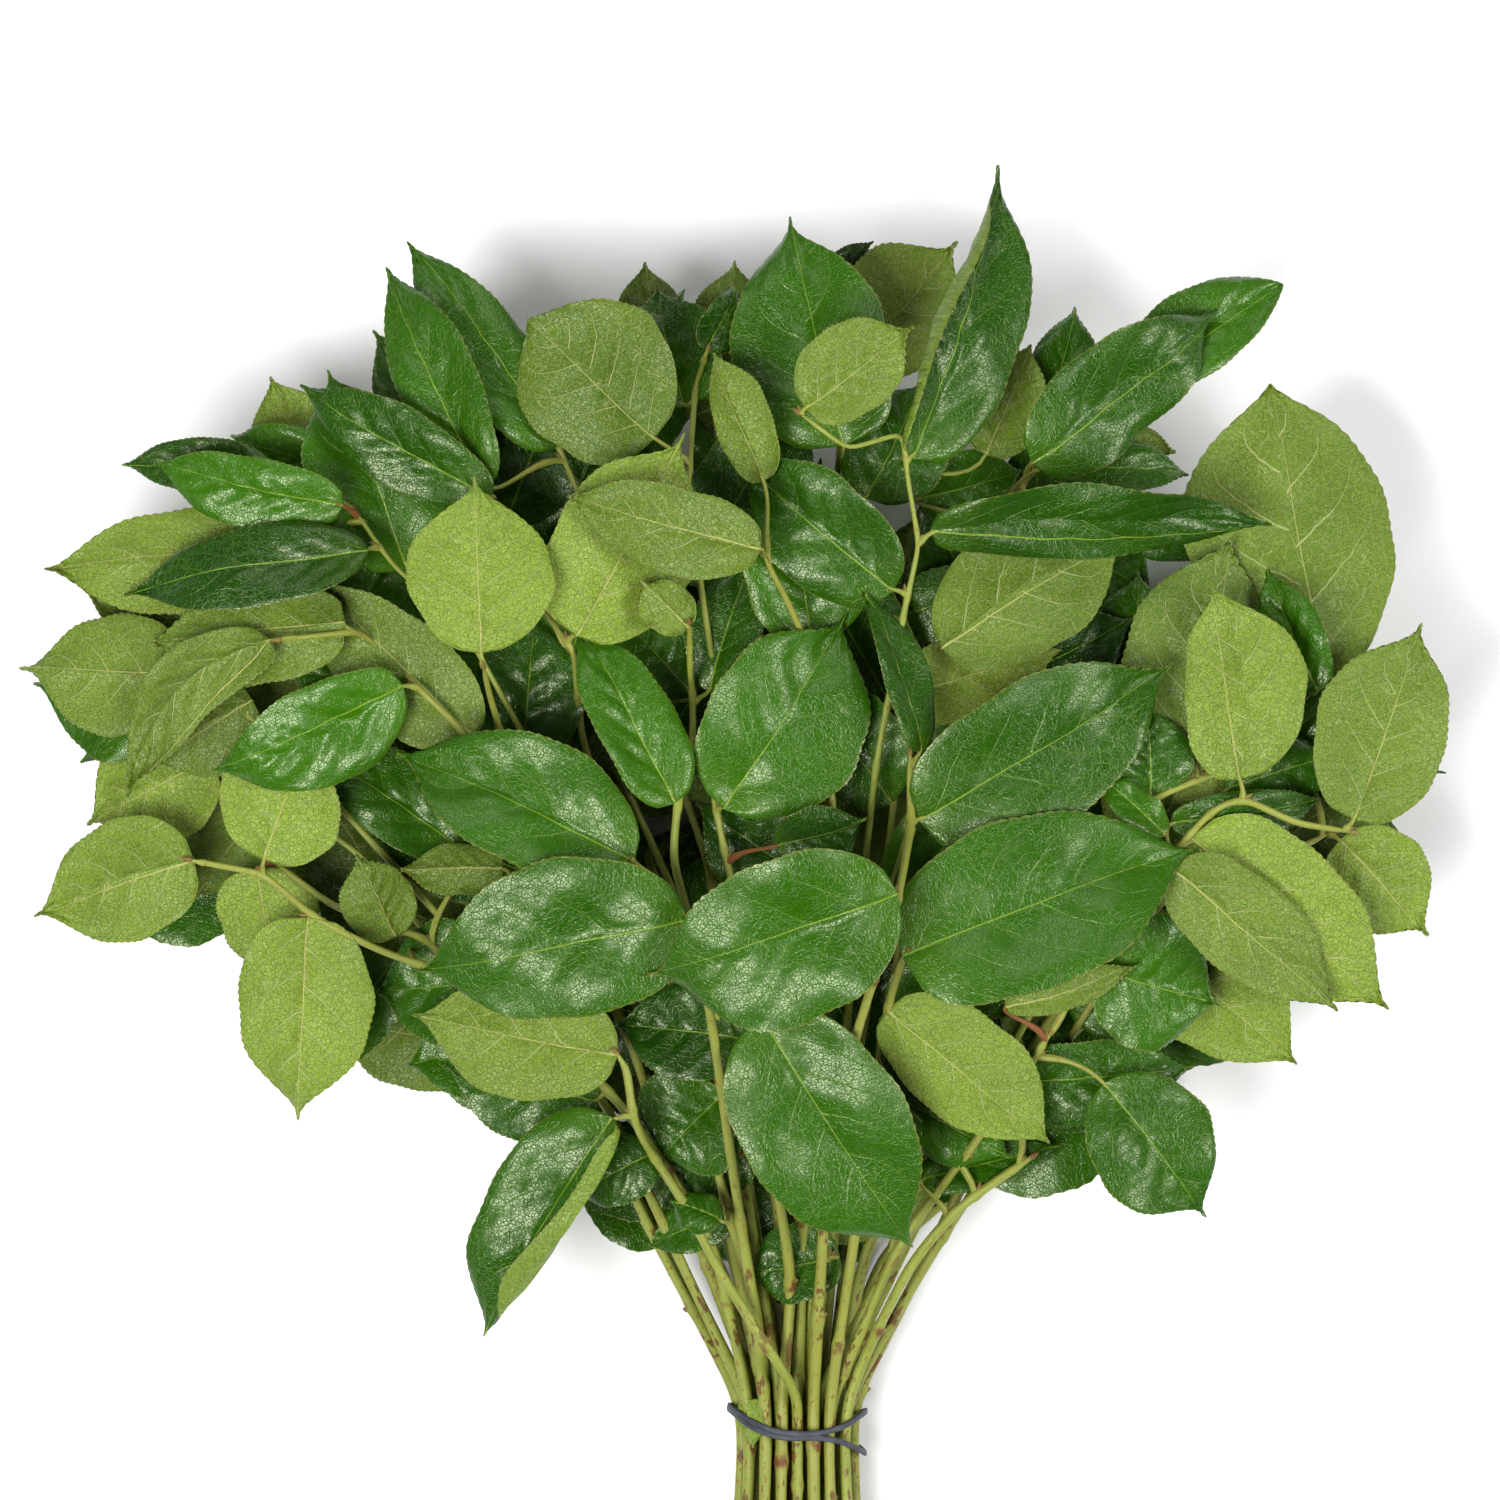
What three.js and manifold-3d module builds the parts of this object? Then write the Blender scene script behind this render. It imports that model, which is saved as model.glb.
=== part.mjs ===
// A bunch of cut salal tips, tied near the cut ends with a rubber band and lying on a flat surface.
// Millimetres. While it is laid out, the origin is on the surface under the tie, +Y runs from the tie to the
// leaf tips and +Z is up. The finished group is shifted so that its box stands centred on the origin.
import * as THREE from "three";
import { mergeVertices } from "three/addons/utils/BufferGeometryUtils.js";
import Module from "manifold-3d";

const wasm = await Module();
wasm.setup();

// Stems, thickest in the tie and thinner towards their ends
const STEM_RADIUS = 2.2;
const SHOOT_RADIUS = 1.3;
const THIN_FROM = 330;
const STEM_SIDES = 5;
const STRAIGHT_AT_TIE = 9;
const ROWS_SPREAD_AT = 32;
const ROW_SPREAD = 1.6;
const STEM_BELOW_TIE = 72;
const STEM_END_STEP = 5;
const SPLAY = 1.2;
const END_SAG = 1.4;
const HELD_REACH = 30;
const HELD_FIRMNESS = 0.02;

// The tie: stems stand in rows inside an ellipse, and the band runs round it.
const TIE_HALF_WIDTH = 20.5;
const TIE_HALF_HEIGHT = 17.5;
const STEM_PITCH = 5.6;
const ROW_PITCH = 4.9;
const BAND_THICKNESS = 2.2;
const BAND_CLEARANCE = 0.5;
const BAND_TILT = 0.07;
const TIE_HEIGHT = TIE_HALF_HEIGHT + STEM_RADIUS + BAND_CLEARANCE + BAND_THICKNESS;

// Leaves
const LEAF_THICKNESS = 1;
const LEAF_STATIONS = [0, 0.22, 0.58, 1];
const LEAF_END_WIDTH = 2;
const PETIOLE_WIDTH = 1.7;
const PETIOLE_HEIGHT = 1;
const PETIOLE_REACH = 0.07;
const PETIOLE_BACK = 0.9;
const LEAF_BOW = 0.05;
const LEAF_CUP = 0.12;
const NEIGHBOUR_GAP = 0.3;
const LEAST_OVERLAP = 1e-5;
const SLIVER = 0.3;

// The leaf's outline: where it is widest, how round it is, and how it narrows towards its tip.
const OUTLINE_WIDEST = 0.82;
const OUTLINE_ROUND = 0.75;
const OUTLINE_NARROWING = 0.3;

// Leaves are laid on the heap from the lowest to the highest, and each clears those below it.
const HEAP_CELL = 5;
const HEAP_GAP = 2.2;
const HEAP_CELLS = 130;
const HEAP_ROWS_BELOW_TIE = 20;
const HEAP_SAMPLES_ALONG = 20;
const HEAP_SAMPLES_ASIDE = 4;

// Tips of the hidden side, laid out by a rule.
const UNDER_TIPS = 11;
const UNDER_LEAVES = 4;
const UNDER_FAN = 1.46;
const UNDER_CURVE = 0.62;
const UNDER_REACH = 275;
const UNDER_MIDDLE_LONGER = 0.28;
const UNDER_UNEVEN = 0.07;
const UNDER_LOWEST = 4;
const UNDER_LAYER = 17;
const UNDER_RISE = 5;
const UNDER_FIRST_LEAF = 0.46;
const UNDER_LAST_LEAF = 0.91;
const UNDER_OUTER_LATER = 0.26;
const UNDER_STAGGER = 8;
const UNDER_LEAF_LENGTH = 60;
const UNDER_LEAF_WIDTH = 44;
const UNDER_LEAF_ASIDE = 44;

// Each tip: its name, the stem's route from above the tie to its end (x, y), and its leaves. A leaf: the side
// that faces up ("U" the glossy upper side, "L" the pale lower one), its base (x, y), its tip (x, y), its
// width as seen from above, the height of its middle, the rise from base to tip, and its roll in degrees. A
// last number lifts a stem that crosses over its neighbours just above the tie.
const TIPS = [
  ["left_shoulder", [[-60, 140], [-117, 249], [-131, 262], [-143, 274], [-154, 283], [-180, 280]], [
    ["U", -138, 264, -205, 234, 35, 96, -12, -12], ["L", -158, 286, -226, 279, 34, 92, -12, 10],
    ["L", -184, 280, -233, 225, 26, 103, -18, 20], ["U", -140, 266, -180, 268, 20, 82, -4, 15]]],
  ["left_low", [[-70, 120], [-120, 163], [-142, 170], [-153, 175], [-169, 183], [-187, 198], [-212, 203]], [
    ["L", -171, 183, -175, 112, 47, 90, -16, 8], ["L", -187, 203, -170, 248, 44, 82, 6, -10],
    ["L", -211, 203, -268, 183, 42, 88, -16, 8]]],
  ["left_twig", [[-70, 108], [-132, 177], [-141, 178], [-163, 187], [-184, 202]], [
    ["L", -190, 200, -183, 160, 35, 70, -10, 8], ["L", -141, 176, -155, 205, 25, 76, 6, 10],
    ["U", -118, 207, -172, 242, 30, 74, -6, 12]]],
  ["far_left", [[-95, 150], [-165, 225], [-190, 252], [-212, 265]], [
    ["L", -215, 268, -273, 270, 42, 78, -14, 10], ["U", -215, 262, -270, 265, 46, 66, -16, -8],
    ["L", -205, 282, -252, 298, 26, 60, -8, 8], ["L", -191, 259, -228, 236, 36, 70, -10, 8]]],
  ["left_edge", [[-85, 125], [-155, 205], [-200, 236]], [
    ["L", -206, 239, -250, 215, 45, 62, -14, 8], ["U", -222, 250, -254, 238, 10, 56, -6, 40],
    ["L", -186, 228, -214, 188, 40, 56, -12, -6]]],
  ["left_upper", [[-58, 180], [-96, 245], [-118, 285], [-140, 305], [-155, 325]], [
    ["U", -150, 311, -237, 297, 28, 98, -16, 18], ["U", -159, 327, -225, 342, 25, 94, -12, -14],
    ["L", -172, 314, -265, 305, 38, 76, -18, 10], ["U", -182, 336, -238, 342, 20, 78, -14, 10]]],
  ["left_crown", [[-42, 190], [-88, 290], [-106, 328]], [
    ["U", -107, 330, -175, 369, 27, 97, -14, -20], ["U", -137, 305, -165, 376, 45, 80, -12, 14],
    ["U", -160, 340, -200, 352, 24, 72, -8, -12], ["L", -168, 336, -186, 373, 30, 64, -8, 8]]],
  ["crown_left", [[-32, 200], [-72, 320], [-90, 362]], [
    ["U", -84, 348, -137, 421, 30, 84, -16, 16], ["U", -109, 333, -145, 411, 28, 88, -18, -18],
    ["U", -110, 345, -150, 390, 38, 64, -10, 8]]],
  ["crown_pale", [[-20, 200], [-38, 330], [-36, 369], [-32, 381]], [
    ["L", -50, 350, -94, 392, 55, 88, -10, -12], ["U", -40, 362, -50, 406, 40, 70, -10, -12],
    ["U", -32, 381, -22, 404, 14, 84, -4, 30]]],
  ["crown_back", [[-14, 220], [-30, 365]], [
    ["L", -48, 372, -54, 414, 25, 54, -6, 8], ["L", -28, 372, -22, 414, 30, 56, -6, -8],
    ["U", -2, 402, 27, 421, 12, 52, 2, 35]]],
  ["middle_left", [[-42, 160], [-104, 245], [-109, 270]], [
    ["L", -110, 275, -113, 336, 50, 98, -8, 10], ["U", -96, 240, -92, 290, 40, 76, -4, -8],
    ["L", -113, 246, -170, 303, 38, 84, -8, -10]]],
  ["middle_fork", [[-34, 140], [-75, 244], [-77, 256], [-79, 276], [-90, 292]], [
    ["L", -77, 281, -40, 352, 50, 94, -6, 12], ["U", -38, 262, -62, 288, 35, 80, -4, 12],
    ["U", -84, 262, -58, 330, 44, 72, -6, -10]]],
  ["middle_bud", [[-17, 80], [-27, 140], [-44, 203], [-42, 222], [-36, 243], [-36, 262], [-38, 285]], [
    ["U", -43, 223, -78, 286, 28, 90, -4, 22], ["L", -38, 284, -55, 300, 18, 100, -2, 8],
    ["U", -31, 262, -17, 308, 25, 82, -4, -14]]],
  ["middle_dark", [[3, 80], [-9, 125], [-27, 212], [-31, 238]], [
    ["U", -26, 221, 18, 290, 56, 86, -8, 10], ["U", 5, 195, -36, 223, 35, 82, -2, -10],
    ["U", -8, 208, 24, 218, 22, 94, 2, 20]]],
  ["arched", [[5, 120], [13, 219], [10, 238], [4, 275], [-12, 309]], [
    ["L", -13, 311, -80, 330, 30, 110, -12, -14], ["U", 5, 279, -5, 338, 44, 82, -4, 8],
    ["L", -12, 335, -29, 380, 20, 96, -6, -24]]],
  ["zigzag", [[16, 130], [27, 235], [32, 262], [37, 290], [42, 313], [38, 335], [36, 352], [17, 346],
    [1, 358]], [
    ["L", 2, 360, 40, 389, 32, 112, -2, 12], ["U", 40, 343, 72, 447, 38, 96, -24, 24],
    ["U", 46, 318, 166, 320, 24, 100, -18, 30], ["U", 33, 297, -22, 345, 38, 88, -6, -18]]],
  ["crown_glossy", [[6, 200], [14, 340]], [
    ["U", 16, 348, -3, 429, 55, 86, -16, -8], ["L", 20, 378, 56, 421, 44, 62, -8, 10],
    ["L", 66, 345, 82, 384, 28, 64, -6, 8], ["U", 24, 330, 44, 372, 36, 74, -6, 10]]],
  ["crown_right", [[40, 200], [80, 338]], [
    ["U", 82, 342, 149, 395, 36, 84, -12, 20], ["U", 112, 362, 171, 406, 30, 70, -12, -12],
    ["U", 86, 352, 98, 398, 25, 62, -8, 8], ["L", 100, 350, 133, 347, 14, 68, -4, 20]]],
  ["right_shoulder", [[34, 200], [74, 330]], [
    ["U", 85, 340, 138, 339, 18, 76, -10, -20], ["U", 42, 330, 80, 340, 26, 62, -6, 14],
    ["U", 108, 322, 150, 312, 18, 64, -8, 10], ["U", 84, 318, 128, 296, 34, 58, -8, -8]]],
  ["right_pale", [[24, 150], [35, 240], [48, 275]], [
    ["L", 50, 277, 116, 318, 46, 88, -10, -10], ["L", 32, 260, 92, 277, 30, 80, -8, 10],
    ["U", 66, 262, 118, 288, 34, 68, -8, 8]]],
  ["front_three", [[10, 100], [33, 190], [39, 217], [39, 240]], [
    ["U", 34, 192, -54, 163, 58, 122, -14, -8], ["U", 42, 217, 132, 272, 52, 110, -12, 10],
    ["U", 43, 241, 24, 297, 16, 104, -4, 40]]],
  ["front_right", [[20, 70], [29, 137], [32, 155], [37, 171]], [
    ["U", 36, 170, 138, 208, 60, 114, -16, -10], ["L", 31, 151, 88, 104, 38, 90, -16, 10],
    ["U", 31, 144, 73, 107, 28, 78, -12, -10]]],
  ["right_fan", [[60, 110], [123, 224], [139, 231], [147, 233]], [
    ["L", 139, 234, 152, 316, 50, 82, -8, 8], ["U", 123, 226, 122, 258, 30, 92, -2, 14],
    ["U", 128, 212, 105, 232, 14, 98, 2, 24]]],
  ["right_twig", [[44, 78], [122, 196], [144, 221], [154, 225], [173, 216], [193, 213]], [
    ["L", 154, 231, 144, 300, 43, 94, -6, -8], ["L", 194, 217, 218, 286, 46, 88, -6, 10],
    ["L", 137, 211, 207, 151, 50, 82, -18, 8]]],
  ["right_low", [[52, 70], [118, 176], [134, 196]], [
    ["L", 130, 200, 188, 150, 34, 92, -18, -10], ["L", 125, 175, 176, 131, 44, 68, -14, 8],
    ["U", 130, 216, 183, 224, 18, 76, -10, 10]]],
  ["far_right", [[72, 115], [150, 195], [186, 212]], [
    ["L", 190, 210, 221, 176, 36, 74, -10, -8], ["U", 178, 245, 229, 233, 40, 66, -12, 10],
    ["U", 150, 228, 190, 240, 26, 68, -6, -8]]],
  ["right_broad", [[60, 150], [145, 235], [182, 263]], [
    ["L", 184, 266, 166, 370, 72, 74, -16, 6], ["U", 182, 262, 164, 305, 22, 82, -4, -14],
    ["U", 118, 262, 120, 305, 30, 60, -4, 8]]],
  ["right_gloss", [[36, 66], [88, 142]], [
    ["U", 105, 165, 148, 152, 48, 86, -8, 8], ["L", 72, 152, 118, 167, 12, 96, -4, 24],
    ["U", 107, 125, 144, 77, 44, 82, -14, -8], ["U", 75, 125, 140, 130, 30, 72, -10, 8]]],
  ["right_outer", [[25, 29], [39, 60], [55, 80], [82, 98]], [
    ["U", 38, 118, 75, 98, 26, 68, -6, 8], ["U", 43, 90, 93, 102, 18, 62, -6, -10],
    ["U", 78, 140, 110, 106, 30, 64, -8, 8]]],
  ["front_drop", [[-2, 52], [-10, 98], [-12, 148]], [
    ["U", -13, 149, 40, 67, 58, 106, -22, 7], ["U", -18, 140, -66, 146, 35, 86, -8, 10]]],
  ["front_left", [[-21, 88], [-33, 160], [-42, 188], [-57, 203]], [
    ["U", -57, 203, -140, 241, 45, 104, -12, 12], ["U", -38, 183, -134, 164, 55, 112, -16, -8]]],
  ["low_left_front", [[1, 13], [-8, 26], [-28, 59], [-39, 83], [-50, 99], [-57, 111], [-60, 130],
    [-63, 135]], [
    ["L", -63, 135, -135, 149, 44, 92, -12, -8], ["U", -65, 113, -112, 35, 32, 84, -22, 16],
    ["U", -50, 100, -80, 84, 24, 68, -6, 10]], 9],
  ["low_left_back", [[-30, 68], [-58, 112], [-78, 134], [-102, 190]], [
    ["U", -70, 118, -127, 131, 40, 70, -10, -10], ["U", -100, 160, -151, 156, 45, 72, -10, 8],
    ["L", -103, 200, -139, 199, 18, 88, -4, 20]]],
  ["low_middle", [[-15, 50], [-27, 88], [-32, 113]], [
    ["U", -26, 121, -50, 96, 42, 64, -6, 8], ["U", -20, 110, -48, 84, 36, 56, -8, -8],
    ["U", -27, 76, -45, 83, 14, 66, -2, 24], ["U", -20, 80, -53, 66, 18, 50, -6, 14]]],
  ["low_inner", [[6, 42], [11, 62]], [
    ["U", 15, 62, -18, 55, 28, 46, -4, 8]]],
];

const tipOf = ([name, route, leaves, crossing = 0]) => ({ name, route, leaves, crossing });

// The hidden tips fan out under the others, with leaves left and right of each stem in turn. Some leaves are
// pressed flat on the surface.
function underTip(index) {
  const fan = ((index + 0.5) / UNDER_TIPS - 0.5) * UNDER_FAN;
  const longer = UNDER_MIDDLE_LONGER * Math.cos(2 * fan) + UNDER_UNEVEN * Math.cos(5 * index);
  const reach = UNDER_REACH * (0.8 + longer);
  const at = (along, aside) => [
    Math.round(along * Math.sin(fan) + aside * Math.cos(fan)),
    Math.round(along * Math.cos(fan) - aside * Math.sin(fan)),
  ];
  const first = UNDER_FIRST_LEAF + UNDER_OUTER_LATER * (2 * fan / UNDER_FAN) ** 2;
  const leaves = [];
  for (let k = 0; k < UNDER_LEAVES; k++) {
    const side = k === UNDER_LEAVES - 1 ? 0 : k % 2 ? 1 : -1;
    const share = first + (UNDER_LAST_LEAF - first) * k / (UNDER_LEAVES - 1);
    const along = reach * share - UNDER_STAGGER * (index % 2);
    const face = (index + k) % 3 ? "U" : "L";
    const base = at(along, 4 * side);
    const tip = at(along + UNDER_LEAF_LENGTH - 14 * Math.abs(side), UNDER_LEAF_ASIDE * side);
    const height = UNDER_LOWEST + UNDER_LAYER * (index % 2) + UNDER_RISE * k;
    const width = UNDER_LEAF_WIDTH + 6 * Math.sin(index + 2 * k);
    const pressed = index % 2 === 0 && k === 1;
    if (pressed) leaves.push([face, ...base, ...tip, width, LEAF_THICKNESS / 2, 0, 0, pressed]);
    else leaves.push([face, ...base, ...tip, width, height, -4 + (k % 3), 5 * side]);
  }
  const [outwards, forwards] = at(reach * 0.3, 0);
  const route = [[Math.round(outwards * UNDER_CURVE), forwards], at(reach * 0.6, 5), at(reach * 0.88, 0)];
  return tipOf(["under_" + (index + 1), route, leaves]);
}

// One leaf with its frame: base, direction from base to tip, direction across it, and the normal that faces
// up. A leaf pressed flat on the surface has no bend.
function leafOf([face, bx, by, tx, ty, seenWidth, height, rise, rollDegrees, pressed = false]) {
  const roll = THREE.MathUtils.degToRad(rollDegrees);
  const base = new THREE.Vector3(bx, by, height - rise / 2);
  const along = new THREE.Vector3(tx - bx, ty - by, rise);
  const length = along.length();
  along.normalize();
  const level = new THREE.Vector3(-along.y, along.x, 0).normalize();
  const across = level.applyAxisAngle(along, roll);
  const normal = along.clone().cross(across);
  const halfWidth = seenWidth / Math.cos(roll) / 2;
  const faceUp = face === "U" ? 1 : -1;
  const bend = pressed ? 0 : 1;
  return { base, along, across, normal, length, halfWidth, faceUp, bend, middleHeight: height };
}

// Half the leaf's width as a share of its greatest, u from 0 at the base to 1 at the tip.
function outline(u) {
  return Math.sin(Math.PI * u ** OUTLINE_WIDEST) ** OUTLINE_ROUND * (1 - OUTLINE_NARROWING * u ** 6);
}

// A point of the leaf's middle surface: bowed along its length, and cupped towards its glossy side.
function leafPoint(leaf, u, v) {
  const half = leaf.halfWidth * outline(u);
  const bow = leaf.bend * leaf.length * LEAF_BOW * 4 * u * (1 - u);
  const cup = leaf.bend * leaf.faceUp * LEAF_CUP * half * Math.abs(v);
  return leaf.base.clone()
    .addScaledVector(leaf.along, leaf.length * u)
    .addScaledVector(leaf.across, half * v)
    .addScaledVector(leaf.normal, bow + cup);
}

// Lays the leaves one by one from the lowest, raising each that would not clear the heap or the surface.
function layLeaves(leaves) {
  const across = HEAP_CELLS;
  const heap = new Float64Array(across * across).fill(-HEAP_GAP + LEAF_THICKNESS / 2);
  const cellOf = (p) => {
    const column = Math.floor(p.x / HEAP_CELL) + across / 2;
    const row = Math.floor(p.y / HEAP_CELL) + HEAP_ROWS_BELOW_TIE;
    return row * across + column;
  };
  const order = [...leaves].sort((a, b) => a.middleHeight - b.middleHeight);
  for (const leaf of order) {
    const points = [];
    for (let i = 1; i <= HEAP_SAMPLES_ALONG; i++) {
      for (let j = -HEAP_SAMPLES_ASIDE; j <= HEAP_SAMPLES_ASIDE; j++) {
        points.push(leafPoint(leaf, i / HEAP_SAMPLES_ALONG, j / HEAP_SAMPLES_ASIDE));
      }
    }
    const lift = Math.max(0, ...points.map((p) => heap[cellOf(p)] + HEAP_GAP - p.z));
    leaf.base.z += lift;
    for (const p of points) {
      const cell = cellOf(p);
      for (const near of [cell, cell - 1, cell + 1, cell - across, cell + across]) {
        heap[near] = Math.max(heap[near], p.z + lift);
      }
    }
  }
}

// Places for the stems inside the tie: rows of points in an ellipse, from the lowest row to the highest.
function tiePlaces() {
  const rows = [];
  const half = Math.floor(TIE_HALF_HEIGHT / ROW_PITCH);
  for (let row = -half; row <= half; row++) {
    const z = row * ROW_PITCH;
    const reach = (TIE_HALF_WIDTH - 0.4) * Math.sqrt(1 - (z / (TIE_HALF_HEIGHT + 1)) ** 2);
    const count = Math.floor((2 * reach) / STEM_PITCH) + 1;
    rows.push(Array.from({ length: count }, (_, k) => [(k - (count - 1) / 2) * STEM_PITCH, TIE_HEIGHT + z]));
  }
  return rows;
}

// Gives every tip a place in the tie: steeper tips in higher rows, and in each row from left to right.
function shareTie(tips) {
  const mean = (values) => values.reduce((a, b) => a + b, 0) / values.length;
  const slope = ({ base }) => (base.z - TIE_HEIGHT) / Math.hypot(base.x, base.y);
  const steepness = (tip) => mean(tip.laid.map(slope));
  const fan = (tip) => Math.atan2(tip.route[0][0], tip.route[0][1]);
  const waiting = [...tips].sort((a, b) => steepness(a) - steepness(b));
  for (const row of tiePlaces()) {
    const chosen = waiting.splice(0, row.length).sort((a, b) => fan(a) - fan(b));
    chosen.forEach((tip, k) => { tip.place = row[k]; });
  }
  if (waiting.length) throw new Error(waiting.length + " tips have no place in the tie");
}

// The stem's points in space. Its height runs smoothly from its place in the tie to the bases of its leaves.
function stemPoints(tip, index) {
  const [x, z] = tip.place;
  const plan = [new THREE.Vector2(x, 0), ...tip.route.map(([px, py]) => new THREE.Vector2(px, py))];
  const distance = [0];
  for (let k = 1; k < plan.length; k++) distance.push(distance[k - 1] + plan[k].distanceTo(plan[k - 1]));
  const held = tip.laid.map((leaf) => {
    const away = plan.map((p) => p.distanceTo(new THREE.Vector2(leaf.base.x, leaf.base.y)));
    return { at: distance[away.indexOf(Math.min(...away))], z: leaf.base.z };
  });
  const spread = Math.max(STEM_RADIUS + 0.3, TIE_HEIGHT + (z - TIE_HEIGHT) * ROW_SPREAD);
  held.push({ at: 0, z }, { at: ROWS_SPREAD_AT, z: spread + tip.crossing });
  const heightAt = (s) => {
    const pulls = held.map((h) => 1 / (HELD_FIRMNESS + ((s - h.at) / HELD_REACH) ** 2));
    const total = pulls.reduce((a, b) => a + b, 0);
    return pulls.reduce((sum, pull, k) => sum + pull * held[k].z, 0) / total;
  };
  const end = STEM_BELOW_TIE + STEM_END_STEP * ((index * 3) % 4);
  const lowered = Math.max(STEM_RADIUS + 0.1, TIE_HEIGHT + (z - TIE_HEIGHT) * END_SAG);
  return [
    new THREE.Vector3(x * SPLAY, -end, lowered),
    new THREE.Vector3(x, -STRAIGHT_AT_TIE, z),
    new THREE.Vector3(x, STRAIGHT_AT_TIE, z),
    ...plan.slice(1).map((p, k) => new THREE.Vector3(p.x, p.y, heightAt(distance[k + 1]))),
  ];
}

// A closed geometry's solid.
function solidOf(geometry) {
  const bare = new THREE.BufferGeometry().setAttribute("position", geometry.getAttribute("position"));
  if (geometry.index) bare.setIndex(geometry.index);
  const merged = mergeVertices(bare, 1e-3);
  return new wasm.Manifold(new wasm.Mesh({
    numProp: 3,
    vertProperties: new Float32Array(merged.getAttribute("position").array),
    triVerts: new Uint32Array(merged.index.array),
  }));
}

// A stem is thickest in the tie and thinner the farther it is from it.
function stemRadius(p) {
  return THREE.MathUtils.lerp(STEM_RADIUS, SHOOT_RADIUS, Math.min(1, Math.hypot(p.x, p.y) / THIN_FROM));
}

// A path of straight stretches, with the points themselves as its even steps.
class Route extends THREE.Curve {
  constructor(points) {
    super();
    this.points = points;
  }

  getPoint(t, target = new THREE.Vector3()) {
    const place = t * (this.points.length - 1);
    const first = Math.min(Math.floor(place), this.points.length - 2);
    return target.lerpVectors(this.points[first], this.points[first + 1], place - first);
  }

  getPointAt(u, target) {
    return this.getPoint(u, target);
  }

  getTangentAt(u, target) {
    return this.getTangent(u, target);
  }
}

// The stem's solid, a ring of corners at each of its points, thinner towards its end.
function stemSolid(points, grow) {
  const steps = points.length - 1;
  const section = new THREE.Shape();
  for (let k = 0; k < STEM_SIDES; k++) {
    const turn = (2 * Math.PI * k) / STEM_SIDES;
    const corner = [Math.cos(turn), Math.sin(turn)].map((c) => c * STEM_RADIUS);
    if (k) section.lineTo(...corner);
    else section.moveTo(...corner);
  }
  const path = { steps, bevelEnabled: false, extrudePath: new Route(points) };
  const geometry = new THREE.ExtrudeGeometry(section, path);
  const position = geometry.getAttribute("position");
  for (let k = 0; k < position.count; k++) {
    const p = new THREE.Vector3().fromBufferAttribute(position, k);
    const ring = points.reduce((best, c, i) => (c.distanceTo(p) < points[best].distanceTo(p) ? i : best), 0);
    const radius = stemRadius(points[ring]) + grow;
    p.sub(points[ring]).multiplyScalar(radius / STEM_RADIUS).add(points[ring]);
    position.setXYZ(k, p.x, p.y, p.z);
  }
  return solidOf(geometry);
}

// Where a petiole leaves the stem: the place on the centre line nearest to the leaf's base, a little back.
function petioleRoot(points, base, back) {
  let best = null;
  for (let k = 1; k < points.length; k++) {
    const stretch = new THREE.Line3(points[k - 1], points[k]);
    const near = stretch.closestPointToPoint(base, true, new THREE.Vector3());
    const distance = near.distanceTo(base);
    const towardsTie = points[k - 1].clone().sub(points[k]).normalize();
    if (!best || distance < best.distance) best = { distance, place: near.addScaledVector(towardsTie, back) };
  }
  return best.place;
}

// A leaf's blade: a thin bent plate, from a box whose vertices are moved to the leaf's surface.
function bladeSolid(leaf, grow) {
  const steps = LEAF_STATIONS.length - 1;
  const geometry = new THREE.BoxGeometry(1, 1, 1, steps, 2, 1);
  const position = geometry.getAttribute("position");
  for (let k = 0; k < position.count; k++) {
    const station = Math.round((position.getX(k) + 0.5) * steps);
    const v = Math.round(position.getY(k) * 2);
    const side = Math.sign(position.getZ(k));
    const atEnd = station === 0 || station === steps;
    const p = leafPoint(leaf, LEAF_STATIONS[station], atEnd ? 0 : v);
    p.addScaledVector(leaf.across, v * (grow + (atEnd ? LEAF_END_WIDTH / 2 : 0)));
    p.addScaledVector(leaf.normal, side * (LEAF_THICKNESS / 2 + grow));
    if (atEnd) p.addScaledVector(leaf.along, (station ? 1 : -1) * grow);
    position.setXYZ(k, p.x, p.y, p.z);
  }
  return solidOf(geometry);
}

// A petiole: a bar from inside the stem to just inside the blade.
function petioleSolid(leaf, root, grow) {
  const end = leafPoint(leaf, PETIOLE_REACH, 0);
  const forward = end.clone().sub(root).normalize();
  const aside = new THREE.Vector3(forward.y, -forward.x, 0.01).normalize();
  const upward = aside.clone().cross(forward).normalize();
  const geometry = new THREE.BoxGeometry(1, 1, 1);
  const position = geometry.getAttribute("position");
  for (let k = 0; k < position.count; k++) {
    const p = position.getX(k) > 0 ? end.clone() : root.clone();
    p.addScaledVector(aside, -Math.sign(position.getY(k)) * (PETIOLE_WIDTH / 2 + grow));
    p.addScaledVector(upward, Math.sign(position.getZ(k)) * (PETIOLE_HEIGHT / 2 + grow));
    position.setXYZ(k, p.x, p.y, p.z);
  }
  return solidOf(geometry);
}

const leafSolid = (leaf, root, grow) => bladeSolid(leaf, grow).add(petioleSolid(leaf, root, grow));

// A solid cut back, with a gap, from each neighbour that it would overlap.
function clearOf(solid, neighbours) {
  for (const other of neighbours) {
    if (!boxesMeet(solid.boundingBox(), other.true.boundingBox())) continue;
    if (solid.intersect(other.true).volume() > LEAST_OVERLAP) solid = solid.subtract(other.wide);
  }
  return solid;
}

// The largest body of a solid that a cut may have parted, without the slivers that cuts leave.
function largestBody(solid) {
  const bodies = solid.simplify(SLIVER).decompose();
  return bodies.reduce((best, body) => (body.volume() > best.volume() ? body : best));
}

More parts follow.
